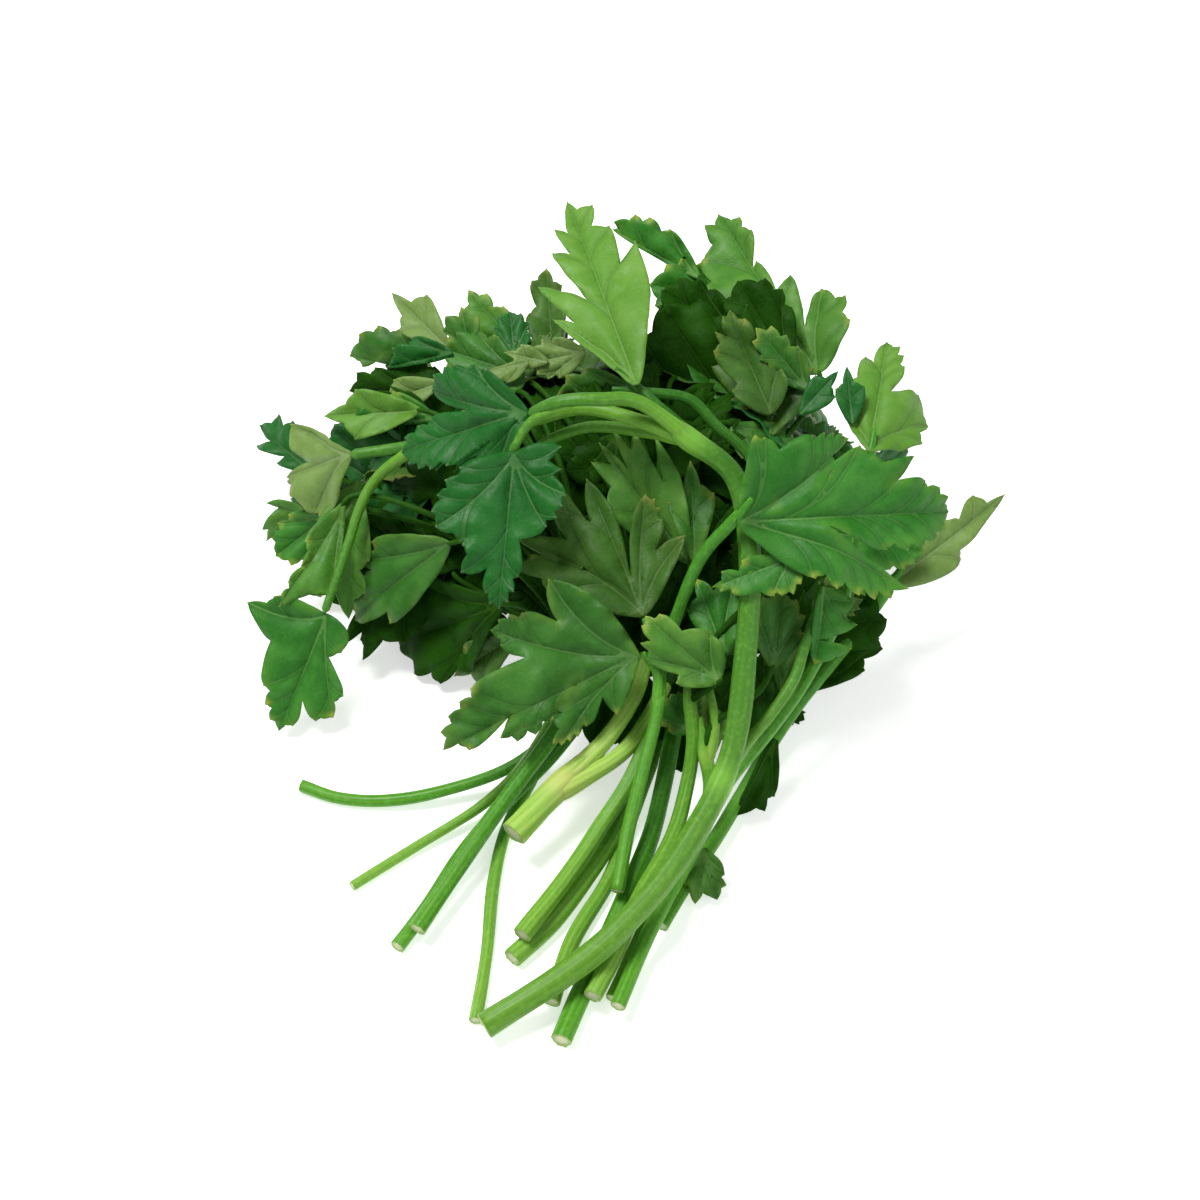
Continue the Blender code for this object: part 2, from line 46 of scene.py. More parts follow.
# Leaf forms, on a blade 100 long from its stalk (0, 0) to its tip (0, 100). A form is a list of lobes, up
# the right-hand side and down the left. Each lobe has (across, along) of its tip, then the number of teeth
# and the swell of its right side, the same for its left side, and the notch that ends it.
bladeForms = {
    "big_right": [
        ((31, 76), (5, 11), (0, 2), (3, 38)),
        ((-2, 100), (5, 24), (3, 24), (-15, 67)),
        ((-26, 80), (0, 4), (1, 13), (-6, 17)),
        ((-34, 50), (1, 8), (4, 16), (-30, 18)),
        ((-36, 8), (1, 8), (0, 4)),
    ],
    "top_pointed": [
        ((18, 64), (0, 8), (0, 5), (8, 43)),
        ((0, 100), (2, 6), (0, 4), (-4, 82)),
        ((-8, 84), (0, 2), (0, 4), (-6, 69)),
        ((-12, 72), (0, 2), (0, 4), (-6, 46)),
        ((-21, 58), (0, 4), (0, 4), (-13, 38)),
        ((-20, 43), (0, 4), (0, 3)),
    ],
    "dark_upper": [
        ((27, 77), (5, 27), (0, 15), (8, 48)),
        ((-14, 108), (3, 20), (4, 25), (-16, 31)),
        ((-43, 63), (0, -2), (1, 12)),
    ],
    "dark_lower": [
        ((46, 52), (4, 20), (1, 28), (14, 41)),
        ((28, 80), (1, 6), (0, 20), (12, 76)),
        ((3, 101), (2, 20), (3, 9), (-7, 57)),
        ((-33, 34), (2, 4), (1, 15), (-26, 14)),
        ((-31, 10), (0, 4), (0, 4), (-22, 5)),
        ((-30, -5), (0, 4), (0, 15)),
    ],
    "pale_left": [
        ((45, 76), (0, -2), (0, 33), (3, 66)),
        ((-6, 99), (0, 10), (2, 6), (-30, 84)),
        ((-60, 51), (2, 8), (0, 3)),
    ],
    "hanging_left": [
        ((60, 13), (1, 6), (0, 12), (34, 35)),
        ((6, 101), (3, 13), (1, 10), (-4, 72)),
        ((-30, 77), (1, 25), (1, 22), (-12, 33)),
        ((-20, 25), (0, 4), (0, 34)),
    ],
    "left_folded": [
        ((24, 62), (1, 5), (0, 4), (18, 56)),
        ((38, 104), (2, 5), (1, 22)),
    ],
    "left_far": [
        ((14, 117), (2, 16), (0, 5), (5, 80)),
        ((-8, 91), (0, 5), (0, 10), (-1, 46)),
        ((-13, 49), (0, 5), (0, 2)),
    ],
    "left_pointed": [
        ((52, 41), (0, 17), (0, 2), (34, 32)),
        ((25, 76), (0, 7), (0, 2), (19, 70)),
        ((7, 86), (0, 4), (0, -6)),
    ],
    "left_blue": [
        ((29, 61), (0, 9), (0, 5), (23, 63)),
        ((21, 79), (0, 6), (0, 4), (11, 74)),
        ((3, 92), (0, 14), (0, 3), (-3, 88)),
        ((-16, 109), (1, 14), (0, 12), (-22, 74)),
        ((-31, 76), (0, 6), (0, 8)),
    ],
    "back_low": [
        ((18, 104), (3, 32), (0, 5), (12, 90)),
        ((6, 85), (0, 4), (0, -26)),
    ],
    "back_curled": [
        ((5, 113), (2, 10), (0, 14), (-8, 97)),
        ((-16, 95), (0, 3), (1, 12)),
    ],
    "back_upright": [
        ((2, 105), (2, 9), (0, 14), (-8, 92)),
        ((-14, 90), (0, 4), (0, 3), (-12, 64)),
        ((-20, 56), (0, 4), (0, 15)),
    ],
    "plume": [
        ((22, 38), (2, 26), (0, 12), (6, 25)),
        ((13, 51), (0, 6), (0, 12), (4, 49)),
        ((4, 69), (0, 8), (0, 4), (1, 68)),
        ((8, 92), (1, 10), (0, 4), (4, 93)),
        ((1, 101), (0, 4), (0, 4), (-3, 97)),
        ((-7, 99), (0, 6), (0, 6), (-9, 88)),
        ((-17, 83), (0, 4), (2, 10)),
    ],
    "ladder": [
        ((7, 100), (3, 18), (0, 4), (4, 95)),
        ((0, 98), (0, 4), (0, -3)),
    ],
    "crest": [
        ((27, 64), (2, 25), (0, 10), (7, 52)),
        ((0, 98), (3, 34), (0, 15), (-6, 80)),
        ((-12, 82), (0, 6), (1, 11)),
    ],
    "blade": [
        ((14, 50), (0, 12), (0, 4), (9, 53)),
        ((-2, 102), (0, 6), (2, 7)),
    ],
    "folded_right": [
        ((13, 98), (0, 7), (0, 6), (-12, 90)),
        ((-29, 78), (0, 6), (0, 0), (9, 69)),
        ((-36, 49), (0, 6), (0, 0), (-19, 41)),
        ((-34, 21), (0, 6), (0, 6)),
    ],
    "broad_front": [
        ((49, 22), (0, 13), (0, 14), (30, 27)),
        ((40, 56), (3, 16), (1, 6), (22, 48)),
        ((1, 100), (4, 14), (1, 5), (1, 66)),
        ((-6, 74), (0, 4), (3, 14), (2, 30)),
        ((-19, 54), (1, 4), (4, 24), (-10, 24)),
        ((-20, 22), (0, 4), (0, 3)),
    ],
    "olive": [
        ((45, 40), (0, 5), (0, 18), (24, 38)),
        ((31, 75), (3, 22), (0, 12), (2, 28)),
        ((-1, 99), (0, 12), (0, 8), (-10, 66)),
        ((-20, 100), (0, 4), (1, 10), (-28, 66)),
        ((-58, 78), (0, 8), (0, 2), (-38, 54)),
        ((-67, 61), (1, 16), (1, 3)),
    ],
    "comb": [
        ((34, 80), (0, 10), (0, 2), (19, 52)),
        ((25, 92), (0, 3), (0, 4), (14, 68)),
        ((14, 100), (0, 5), (0, 3), (6, 74)),
        ((2, 101), (0, 4), (0, 3), (-2, 76)),
        ((-10, 94), (0, 4), (1, 6)),
    ],
    "crown": [
        ((35, 72), (1, 12), (1, 8), (12, 72)),
        ((-1, 92), (0, 12), (1, 11)),
    ],
    "notched": [
        ((34, 38), (0, 20), (0, 4), (18, 62)),
        ((8, 100), (1, 14), (1, 14), (-9, 82)),
        ((-17, 88), (0, 4), (1, 9), (-20, 38)),
        ((-28, 34), (0, 6), (0, 12)),
    ],
    "over_stem": [
        ((-2, 99), (2, 8), (2, 15), (-23, 50)),
        ((-34, 28), (1, 6), (2, 26)),
    ],
    "maple": [
        ((42, 54), (3, 16), (1, 14), (14, 38)),
        ((0, 100), (3, 30), (3, 30), (-14, 38)),
        ((-42, 54), (1, 14), (3, 16)),
    ],
    "fan": [
        ((33, 76), (3, 10), (0, 10), (18, 72)),
        ((0, 100), (1, 14), (1, 14), (-18, 72)),
        ((-33, 76), (0, 10), (3, 10)),
    ],
    "twin": [
        ((14, 98), (1, 18), (0, 8), (4, 82)),
        ((-14, 92), (0, 8), (2, 18)),
    ],
    "spear": [((0, 100), (3, 17), (3, 17))],
    "paddle": [((0, 100), (3, 28), (3, 28))],
    "tongue": [((0, 100), (1, 12), (1, 12))],
    "sickle": [((0, 100), (2, 24), (0, 4))],
}

# Stalks: each is one grown piece, a main run and the branches that leave it. A run has the radius at
# its start, the radius at its end and the points that its middle line passes through.
stalkRuns = {
    "stem_main": [
        (2.6, 2.1, [
            (-28, -91, 4.2), (-13, -82, 8), (-2, -74, 12), (10, -60, 15.6), (20, -41, 22.4),
            (24, -23, 34), (25, -7, 46), (22, 7, 55), (12, 13, 61),
        ]),
        (1.7, 1.2, [(13, 13, 60), (3, 17, 67), (-6, 16, 69), (-14, 16, 68), (-19, 17, 64)]),
        (1.2, 0.9, [(-12, 16, 68), (-19, 15, 64), (-23, 11, 60)]),
        (1.6, 1.1, [
            (13, 13, 60), (4, 17, 61), (-8, 21, 61), (-18, 22, 57), (-30, 23, 51),
            (-41, 25, 47), (-48, 26, 44), (-57, 26, 42),
        ]),
        (1.3, 0.9, [(-46, 26, 45), (-52, 23, 39), (-56, 18, 35), (-59, 10, 30), (-63, -1, 24)]),
        (1.4, 1.0, [(12, 13, 60), (5, 18, 57), (-6, 22, 55), (-14, 22, 52), (-21, 20, 48)]),
        (1.3, 1.0, [
            (19, -44, 20), (24, -35, 20.5), (29, -29, 22.5), (34, -22, 26), (36, -17, 29),
            (39, -10, 34), (40, -7, 37),
        ]),
    ],
    "stem_blunt": [
        (2.8, 2.4, [(-23, -49, 9.5), (-15, -40, 11), (-9, -34, 12.3)]),
        (2.1, 1.5, [(-13, -38, 11.8), (-4, -28, 14.5), (2, -19, 18), (4, -12, 21)]),
        (2.0, 1.5, [(-13, -39, 11.3), (-2, -32, 13), (4, -24, 14), (8, -16, 16)]),
    ],
    "stem_far_left": [
        (1.4, 1.2, [
            (-68, -31, 1.4), (-60, -34, 1.2), (-50, -35, 1.6), (-39, -34, 3), (-26, -30, 5),
            (-17, -24, 8), (-11, -15, 13),
        ]),
    ],
    "stem_left_outer": [
        (1.1, 1.2, [
            (-56, -56, 1.1), (-43, -46, 1.5), (-30, -38, 4), (-22, -32, 8.5), (-16, -24, 14),
            (-13, -17, 19),
        ]),
    ],
    "stem_left_lower": [
        (1.6, 1.6, [
            (-46, -71, 1.6), (-40, -61, 2), (-33, -49, 3.4), (-24, -37, 5.2), (-16, -28, 7.5),
            (-9, -19, 10),
        ]),
    ],
    "stem_left_upper": [
        (1.8, 1.6, [(-42, -69, 5), (-32, -51, 6.8), (-23, -37, 9), (-15, -27, 14.5), (-11, -19, 19)]),
    ],
    "stem_front_thin": [
        (1.3, 1.3, [(-30, -88, 1.4), (-28, -71, 1.4), (-27, -55, 1.4), (-25, -42, 1.4), (-20, -30, 2)]),
    ],
    "stem_short_upper": [
        (1.9, 1.5, [(-21, -71, 6), (-14, -60, 6.2), (-6, -47, 8), (0, -38, 10.5), (4, -30, 14)]),
    ],
    "stem_short_lower": [
        (2.1, 1.6, [(-23, -74, 2.1), (-14, -64, 2.2), (-6, -51, 3), (-1, -41, 5.5), (3, -31, 8)]),
    ],
    "stem_middle_slim": [
        (1.7, 1.4, [(-15, -84, 1.7), (-11, -70, 1.7), (-4, -55, 1.7), (0, -42, 2), (5, -28, 3.6)]),
    ],
    "stem_middle_thick": [
        (2.2, 1.7, [
            (-13, -93, 2.2), (-9, -82, 2.2), (-4, -70, 2.2), (1, -56, 2.5), (5, -44, 3.4),
            (8, -32, 5.2), (10, -22, 8.5),
        ]),
    ],
    "stem_middle_pale": [
        (2.0, 1.3, [
            (-7, -85, 5.6), (-3, -76, 5.9), (3, -61, 5.4), (9, -48, 5.6), (12, -37, 8), (13.6, -29, 14),
            (13, -23, 20),
        ]),
    ],
    "stem_middle_jointed": [
        (1.5, 1.4, [
            (-3, -83, 1.5), (3, -68, 1.6), (8, -57, 2.4), (14, -45, 5), (17, -38, 9),
            (16, -31, 13.5),
        ]),
        (1.1, 0.8, [(16, -32, 13), (18, -27, 17), (17, -22, 22)]),
    ],
    "stem_right": [
        (1.6, 1.2, [
            (-2, -87, 5), (4, -71, 5.4), (13, -52, 7.5), (20, -39, 11.5), (27, -31, 15),
            (34, -23, 20), (39, -16, 25), (44, -7, 30), (47, 4, 36), (50, 17, 41), (51, 22, 44),
        ]),
    ],
    "stem_right_low": [
        (1.5, 1.5, [
            (7, -66, 1.5), (18, -45, 1.7), (28, -27, 3.5), (37, -13, 7), (47, -2, 13),
            (55, 7, 19),
        ]),
    ],
    "stem_long_thin": [
        (1.4, 1.2, [
            (-2, -61, 6.6), (0, -50, 10), (3, -39, 15), (6, -27, 20), (7, -18, 26),
            (10, -11, 32.5), (15, -6, 45), (21, -4, 54),
        ]),
        (1.1, 0.8, [(6, -23, 22), (6, -21, 26), (4, -19, 29.5)]),
        (1.1, 0.8, [(8, -16, 27), (6, -15, 30), (4, -13, 33)]),
    ],
    "stem_back_short": [
        (1.3, 1.0, [(23, 21, 40), (16, 21, 50), (7, 24, 58), (3, 27, 60)]),
    ],
    "stem_back_long": [
        (1.3, 1.1, [(31, 15, 40), (25, 21, 48), (19, 24, 53), (13, 28, 57), (4, 28, 58.5)]),
    ],
}


def place(look, form, base, tip, **more):
    return dict(look=look, form=form, base=base, tip=tip, **more)


# Leaves: colour, form, stalk end and tip in mm. What a leaf can have besides:
# wide, how many times as wide as its form it is
# bow, the mm that its middle rises
# roll about its length and cup of its two halves, in degrees
# bite, the depth of its teeth
# mirrored
leafPlaces = {
    "leaf_big_right": place("fresh", "big_right", (22, -5, 55.5), (67, 5, 46), bow=3),
    "leaf_top_pointed": place("light", "top_pointed", (2, 26, 63), (-13, 82, 64), bow=1, bite=0.42),
    "leaf_dark_upper": place("dark", "dark_upper", (-20, 17, 64), (-45, 23, 52), bow=2),
    "leaf_dark_lower": place("dark", "dark_lower", (-23, 10, 60), (-25, -15, 41), bow=2),
    "leaf_pale_left": place("pale", "pale_left", (-58, 26, 42), (-74, 32, 30)),
    "leaf_hanging_left": place("fresh", "hanging_left", (-63, -2, 23), (-72, -18, 3)),
    "leaf_olive": place("olive", "olive", (3.4, -12, 34), (-8, 12, 50)),
    "leaf_broad_front": place("leafy", "broad_front", (2.6, -19, 30.6), (-37, -36, 20)),
    "leaf_comb": place("mid", "comb", (13, 0, 37), (-6, 21, 50), cup=20),
    "leaf_notched": place("mid", "notched", (19, -24, 28), (3, -15, 35.5)),
    "leaf_crown": place("fresh", "crown", (20, -19, 30), (14, -3, 38), cup=-20),
    "leaf_beside_stem": place("leafy", "paddle", (30, -19, 26), (32, -6, 35), wide=0.8),
    "leaf_over_stem": place("fresh", "over_stem", (34, -9, 49), (17, -13, 45), cup=10),
    "leaf_plume": place("mid", "plume", (42, 50, 42), (21, 93, 48), cup=20),
    "leaf_ladder": place("fresh", "ladder", (17, 84, 38), (-3, 94, 44)),
    "leaf_crest": place("light", "crest", (51, 23, 46), (57, 56, 47), cup=-40),
    "leaf_blade": place("pale", "blade", (56, 8, 20), (82, 27, 27)),
    "leaf_folded_right": place("fresh", "folded_right", (40, -9.6, 41), (41, -19, 26.4)),
    "leaf_back_right": place("olive", "maple", (31, 33, 40), (22, 62, 46)),
    "leaf_back_dark": place("dark", "maple", (26, 45, 24), (8, 74, 33), roll=10),
    "leaf_back_band": place("fresh", "paddle", (27, 80, 34), (6, 84, 36), wide=0.7),
    "leaf_back_left": place("pale", "tongue", (-39, 66, 33), (-53, 82, 36)),
    "leaf_back_low": place("leafy", "back_low", (-43, 66, 26), (-62, 72, 20)),
    "leaf_back_curled": place("mid", "back_curled", (-23, 64, 35), (-34, 75, 40)),
    "leaf_back_upright": place("olive", "back_upright", (-16, 66, 30), (-18, 86, 38)),
    "leaf_left_underside": place("pale", "tongue", (-40, 47, 42), (-55, 46, 36), wide=1.4),
    "leaf_left_edge": place("light", "tongue", (-44, 37, 44), (-66, 42, 37), wide=0.35),
    "leaf_left_far": place("dark", "left_far", (-70, 43, 19), (-83, 57, 14)),
    "leaf_left_dark": place("dark", "sickle", (-45, 34, 36), (-67, 40, 26)),
    "leaf_left_folded": place("mid", "left_folded", (-60, 20, 33), (-65, -1, 22), cup=60),
    "leaf_left_small": place("fresh", "paddle", (-64, 24, 25), (-76, 20, 16)),
    "leaf_left_pointed": place("mid", "left_pointed", (-70, 31, 18), (-80, 27, 10)),
    "leaf_left_blue": place("leafy", "left_blue", (-37, 8, 34), (-59, 8, 16)),
    "leaf_left_inner": place("deep", "paddle", (-26, -2, 26), (-50, 6, 3), wide=0.8),
    "leaf_left_brown": place("olive", "tongue", (-24, -6, 20), (-37, -3, 3)),
    "leaf_low_crumpled": place("mid", "twin", (15.5, -50, 6), (16, -61, 3), wide=1.4),
    "leaf_low_curved": place("deep", "sickle", (31, -26, 11), (23, -40, 4), cup=-40, mirrored=True),
    "leaf_low_right": place("deep", "paddle", (33, -12, 4), (38, -14, 2), wide=2),
    "leaf_slope_left": place("dark", "maple", (-20, 50, 30), (-34, 86, 1), roll=-10),
    "leaf_slope_back": place("dark", "maple", (16, 50, 19), (22, 92, 0.6)),
    "leaf_slope_right": place("dark", "maple", (42, 26, 28), (66, 42, 4.8), roll=-30, wide=1.2),
    "leaf_slope_far_left": place("dark", "maple", (-50, 36, 20), (-76, 44, 1.6)),
}


# Smaller leaves in the gaps. Both ends are given as seen from the front: mm right of and above the middle
# of the view, and mm nearer than it.
# The near-black leaves among these are painted shade, put in the gaps where the bunch is dark.
gapLeaves = {
    "comb_finger": place("leafy", "tongue", (20, 8, 10), (19, 29, 9)),
    "back_pair": place("leafy", "twin", (-27, 52, -20), (-31, 61, -22), wide=1.3),
    "back_glossy": place("dark", "paddle", (-18, 51, -20), (-19, 61, -24), wide=1.3),
    "back_ridge": place("leafy", "paddle", (-16, 47, -15), (-33, 53, -18)),
    "back_shaded": place("deep", "sickle", (-39, 44, -20), (-53, 44, -24)),
    "back_hooked": place("dark", "sickle", (-31, 52, -18), (-45, 49, -22)),
    "back_yellow": place("pale", "tongue", (-11, 50, -11), (-20, 52, -12)),
    "back_pale": place("pale", "paddle", (-3, 52, -10), (-15, 50, -11), wide=0.8),
    "back_strip": place("pale", "sickle", (-15, 50, -10), (-24, 48, -11), mirrored=True),
    "back_under_arch": place("leafy", "sickle", (6, 45, -9), (-9, 43, -11)),
    "back_left_shade": place("deep", "maple", (-36, 40, -16), (-50, 33, -20)),
    "back_left_band": place("fresh", "sickle", (-34, 38, -13), (-52, 38, -15)),
    "behind_arch": place("deep", "paddle", (31, 35, -20), (13, 62, -20)),
    "behind_plume": place("deep", "paddle", (40, 48, -18), (29, 67, -20), wide=1.4),
    "under_band": place("deep", "paddle", (29, 56, -21), (13, 65, -22), wide=1.3),
    "plume_edge": place("olive", "notched", (36, 39, -9), (26, 60, -9), wide=0.8),
    "plume_shade": place("deep", "sickle", (42, 42, -12), (31, 62, -12), mirrored=True),
    "plume_second": place("leafy", "spear", (44, 44, -10), (33, 57, -9), wide=1.2),
    "beside_plume": place("dark", "tongue", (42, 39, -6), (50, 48, -6)),
    "beside_crest": place("dark", "tongue", (53, 37, -4), (52, 49, -4)),
    "right_band": place("deep", "tongue", (41, -21, -8), (59, 7, -8), wide=0.5),
    "right_filling": place("fresh", "maple", (46, 15, -4), (68, 10, -5), wide=1.2),
    "stem_gap": place("deep", "paddle", (32, 16, -3), (36, 1, -4), wide=1.3),
    "left_crumple": place("mid", "blade", (-51, 25, -9), (-54, -3, -8), wide=2),
    "right_shade": place("deep", "tongue", (41, -19, 1), (43, 2, 1)),
    "right_under": place("deep", "paddle", (40, -20, -6), (57, 2, -8), wide=0.7),
    "right_grey": place("leafy", "sickle", (38, -19, 4), (42, -9, 4), mirrored=True),
    "right_second": place("olive", "fan", (46, -6, 2), (53, 5, 1)),
    "left_of_stem": place("olive", "sickle", (28, -22, 0), (29, -5, 0), mirrored=True),
    "shade_of_stem": place("deep", "maple", (34, 0, 0), (29, 13, -2), wide=1.2),
    "shade_heart": place("deep", "maple", (21, -7, -2), (18, -24, -5), wide=1.2),
    "shade_olive": place("deep", "maple", (14, -2, 0), (9, 14, -2), wide=1.3),
    "under_notched": place("fresh", "fan", (19, -28, 7), (15, -20, 7), wide=1.8),
    "sheath": place("light", "tongue", (23, -34, 7), (22, -18, 7), wide=0.8),
    "low_shade_left": place("deep", "paddle", (5, -11, 0), (7, -32, 0), wide=1.2),
    "low_shade_middle": place("deep", "paddle", (18, -10, -2), (17, -36, -1), wide=1.1),
    "low_shade_right": place("deep", "paddle", (31, -10, -1), (30, -29, 0), wide=1.2),
    "shade_joint": place("deep", "paddle", (18, -1, -3), (7, -15, -4), wide=1.4),
    "shade_fold": place("deep", "paddle", (36, -8, -4), (47, 6, -6), wide=1.4),
    "shade_blunt": place("deep", "paddle", (7, -12, 4), (-2, -30, 4), wide=0.9),
    "shade_petal": place("deep", "paddle", (13, -1, -1), (1, -10, -1), wide=1.2),
    "shade_right": place("deep", "paddle", (35, -10, -3), (37, -25, -3), wide=1.1),
    "shade_middle": place("deep", "maple", (-10, 4, -5), (-18, -8, -6), wide=1.2),
    "by_petiole": place("deep", "paddle", (17, 8, 4), (14, -5, 4), wide=1.3),
}

viewUp = np.array((0.0, 0.766, 0.643))
viewMiddle = np.array((-5.5, 0, 25))
viewDistance = 595  # mm from the camera to the middle


def viewSpot(right, up, near):
    # a place given as seen from the front; nearer things look larger
    return viewMiddle + (viewUp * up + (right, 0, 0)) * (1 - near / viewDistance) + front * near


for leaf in gapLeaves.values():
    for end in ("base", "tip"):
        leaf[end] = viewSpot(*leaf[end])


def smoothRoute(points, step):
    # even points along a smooth curve through the given ones
    knots = np.array(points, float)
    knots = np.vstack((2 * knots[0] - knots[1], knots, 2 * knots[-1] - knots[-2]))
    share = np.linspace(0, 1, 12, endpoint=False)[:, None]
    fine = []
    for before, start, end, after in zip(knots[:-3], knots[1:-2], knots[2:-1], knots[3:]):
        linear = end - before
        square = 2 * before - 5 * start + 4 * end - after
        cube = 3 * (start - end) + after - before
        fine.append(start + 0.5 * share * (linear + share * (square + share * cube)))
    fine = np.vstack(fine + [knots[-2]])
    travel = np.concatenate(([0], np.cumsum(np.linalg.norm(np.diff(fine, axis=0), axis=1))))
    stops = np.linspace(0, travel[-1], max(3, round(travel[-1] / step) + 1))
    return np.column_stack([np.interp(stops, travel, fine[:, axis]) for axis in range(3)])


def unit(rows):
    return rows / np.maximum(np.linalg.norm(rows, axis=-1, keepdims=True), 1e-9)


def framesAlong(route):
    # a side and an up direction at each point, with no twist between them
    ahead = unit(np.gradient(route, axis=0))
    side = unit(np.cross(ahead[0], (0.0, 0.0, 1.0)))
    sides = []
    for direction in ahead:
        side = unit(side - direction * (side @ direction))
        sides.append(side)
    sides = np.array(sides)
    return ahead, sides, np.cross(sides, ahead)


def smoothStep(low, high, value):
    share = np.clip((value - low) / (high - low), 0, 1)
    return share * share * (3 - 2 * share)


stalkShape = {
    "step": 1.1,  # mm between rings
    "sides": 30,
    "ridges": 9,
    "ridgeDepth": 0.045,  # part of the radius
    "grooveDepth": 0.16,  # the one wide channel along a stalk
    "knot": 0.1,  # swelling where a branch leaves
    "tail": 7.0,  # mm that a stalk runs on into the leaves, getting thinner
    "fade": 0.55,  # part of the radius that is lost along it
    "unevenness": 0.03,  # part by which it is thicker and thinner along its length
    "unevenLength": 5,  # mm for one radian of those waves
    "flare": 0.12,  # a branch is this much wider near its root
    "wander": 0.25,  # mm that a stalk strays from its smooth course
    "wanderSide": 9,  # mm for one radian of its waves to the side
    "wanderUp": 12,
    "wanderUpShare": 0.7,
    "turn": 0.9,  # radians that the ridges turn along a stalk
    "channelWidth": 0.42,  # radians
    "jointReach": 1.3,  # how far a joint shows, in radii
    "cutRings": ((0.93, 0.12), (0.7, 0.02), (0.4, -0.1)),  # radius and rise of the rings that close an end
    "roundRings": ((0.8, 0.35), (0.45, 0.6), (0.2, 0.7)),
    "cutRoughness": 0.05,
    "thick": 1.6,  # stalks up to this radius have fewer sides
    "fewerSides": 22,
    "branchTail": 1.2,
    "table": 0.05,  # mm above the table of the lowest point
}


def stalkCourse(points, startRadius, parent, tail):
    # the middle line, from inside the stalk that it leaves to a little way into the leaf that it carries
    step = stalkShape["step"]
    points = [np.array(point, float) for point in points]
    if parent is not None:
        near = int(np.linalg.norm(parent - points[0], axis=1).argmin())
        back = max(0, near - round(2.2 * startRadius / step))
        if np.linalg.norm(points[1] - parent[back]) > 2:
            points[0] = parent[back]
    points.append(points[-1] + unit(points[-1] - points[-2]) * tail)
    return smoothRoute(points, step)


def stalkRadii(run, route, travel, length, isBranch, branchStarts, tail, phase):
    # the radius of each ring, and from 0 to 1 how near it is to a joint
    shape = stalkShape
    startRadius, endRadius, _ = run
    radii = startRadius + (endRadius - startRadius) * travel
    radii = radii * (1 - shape["fade"] * smoothStep(1 - tail / length, 1, travel))
    radii = radii * (1 + shape["unevenness"] * np.sin(length * travel / shape["unevenLength"] + phase))
    joint = np.zeros(len(route))
    for spot in branchStarts:
        away = np.linalg.norm(route - np.array(spot, float), axis=1)
        joint = np.maximum(joint, np.exp(-(away / (shape["jointReach"] * startRadius)) ** 2))
    if isBranch:
        gone = length * travel / startRadius
        radii = radii * (0.6 + 0.4 * smoothStep(0, 2.2, gone))
        radii = radii * (1 + shape["flare"] * np.exp(-((gone - 3) / 2) ** 2))
        joint = np.maximum(joint, np.exp(-gone / 4))
    else:
        radii = radii * (1 + shape["knot"] * joint)
    return radii, joint


def endRings(middle, rim, outward, radius, isCut, rng):
    # the rings that close an end, each with how far in from the rim it is
    rough = stalkShape["cutRoughness"] if isCut else 0
    for inward, rise in stalkShape["cutRings" if isCut else "roundRings"]:
        uneven = np.zeros(len(rim))
        if isCut:
            uneven = np.array([rng.uniform(-rough, rough) for _ in rim])
        ring = middle + (rim - middle) * inward
        yield inward, ring + outward * (rise * radius * 0.5 + uneven[:, None] * radius)


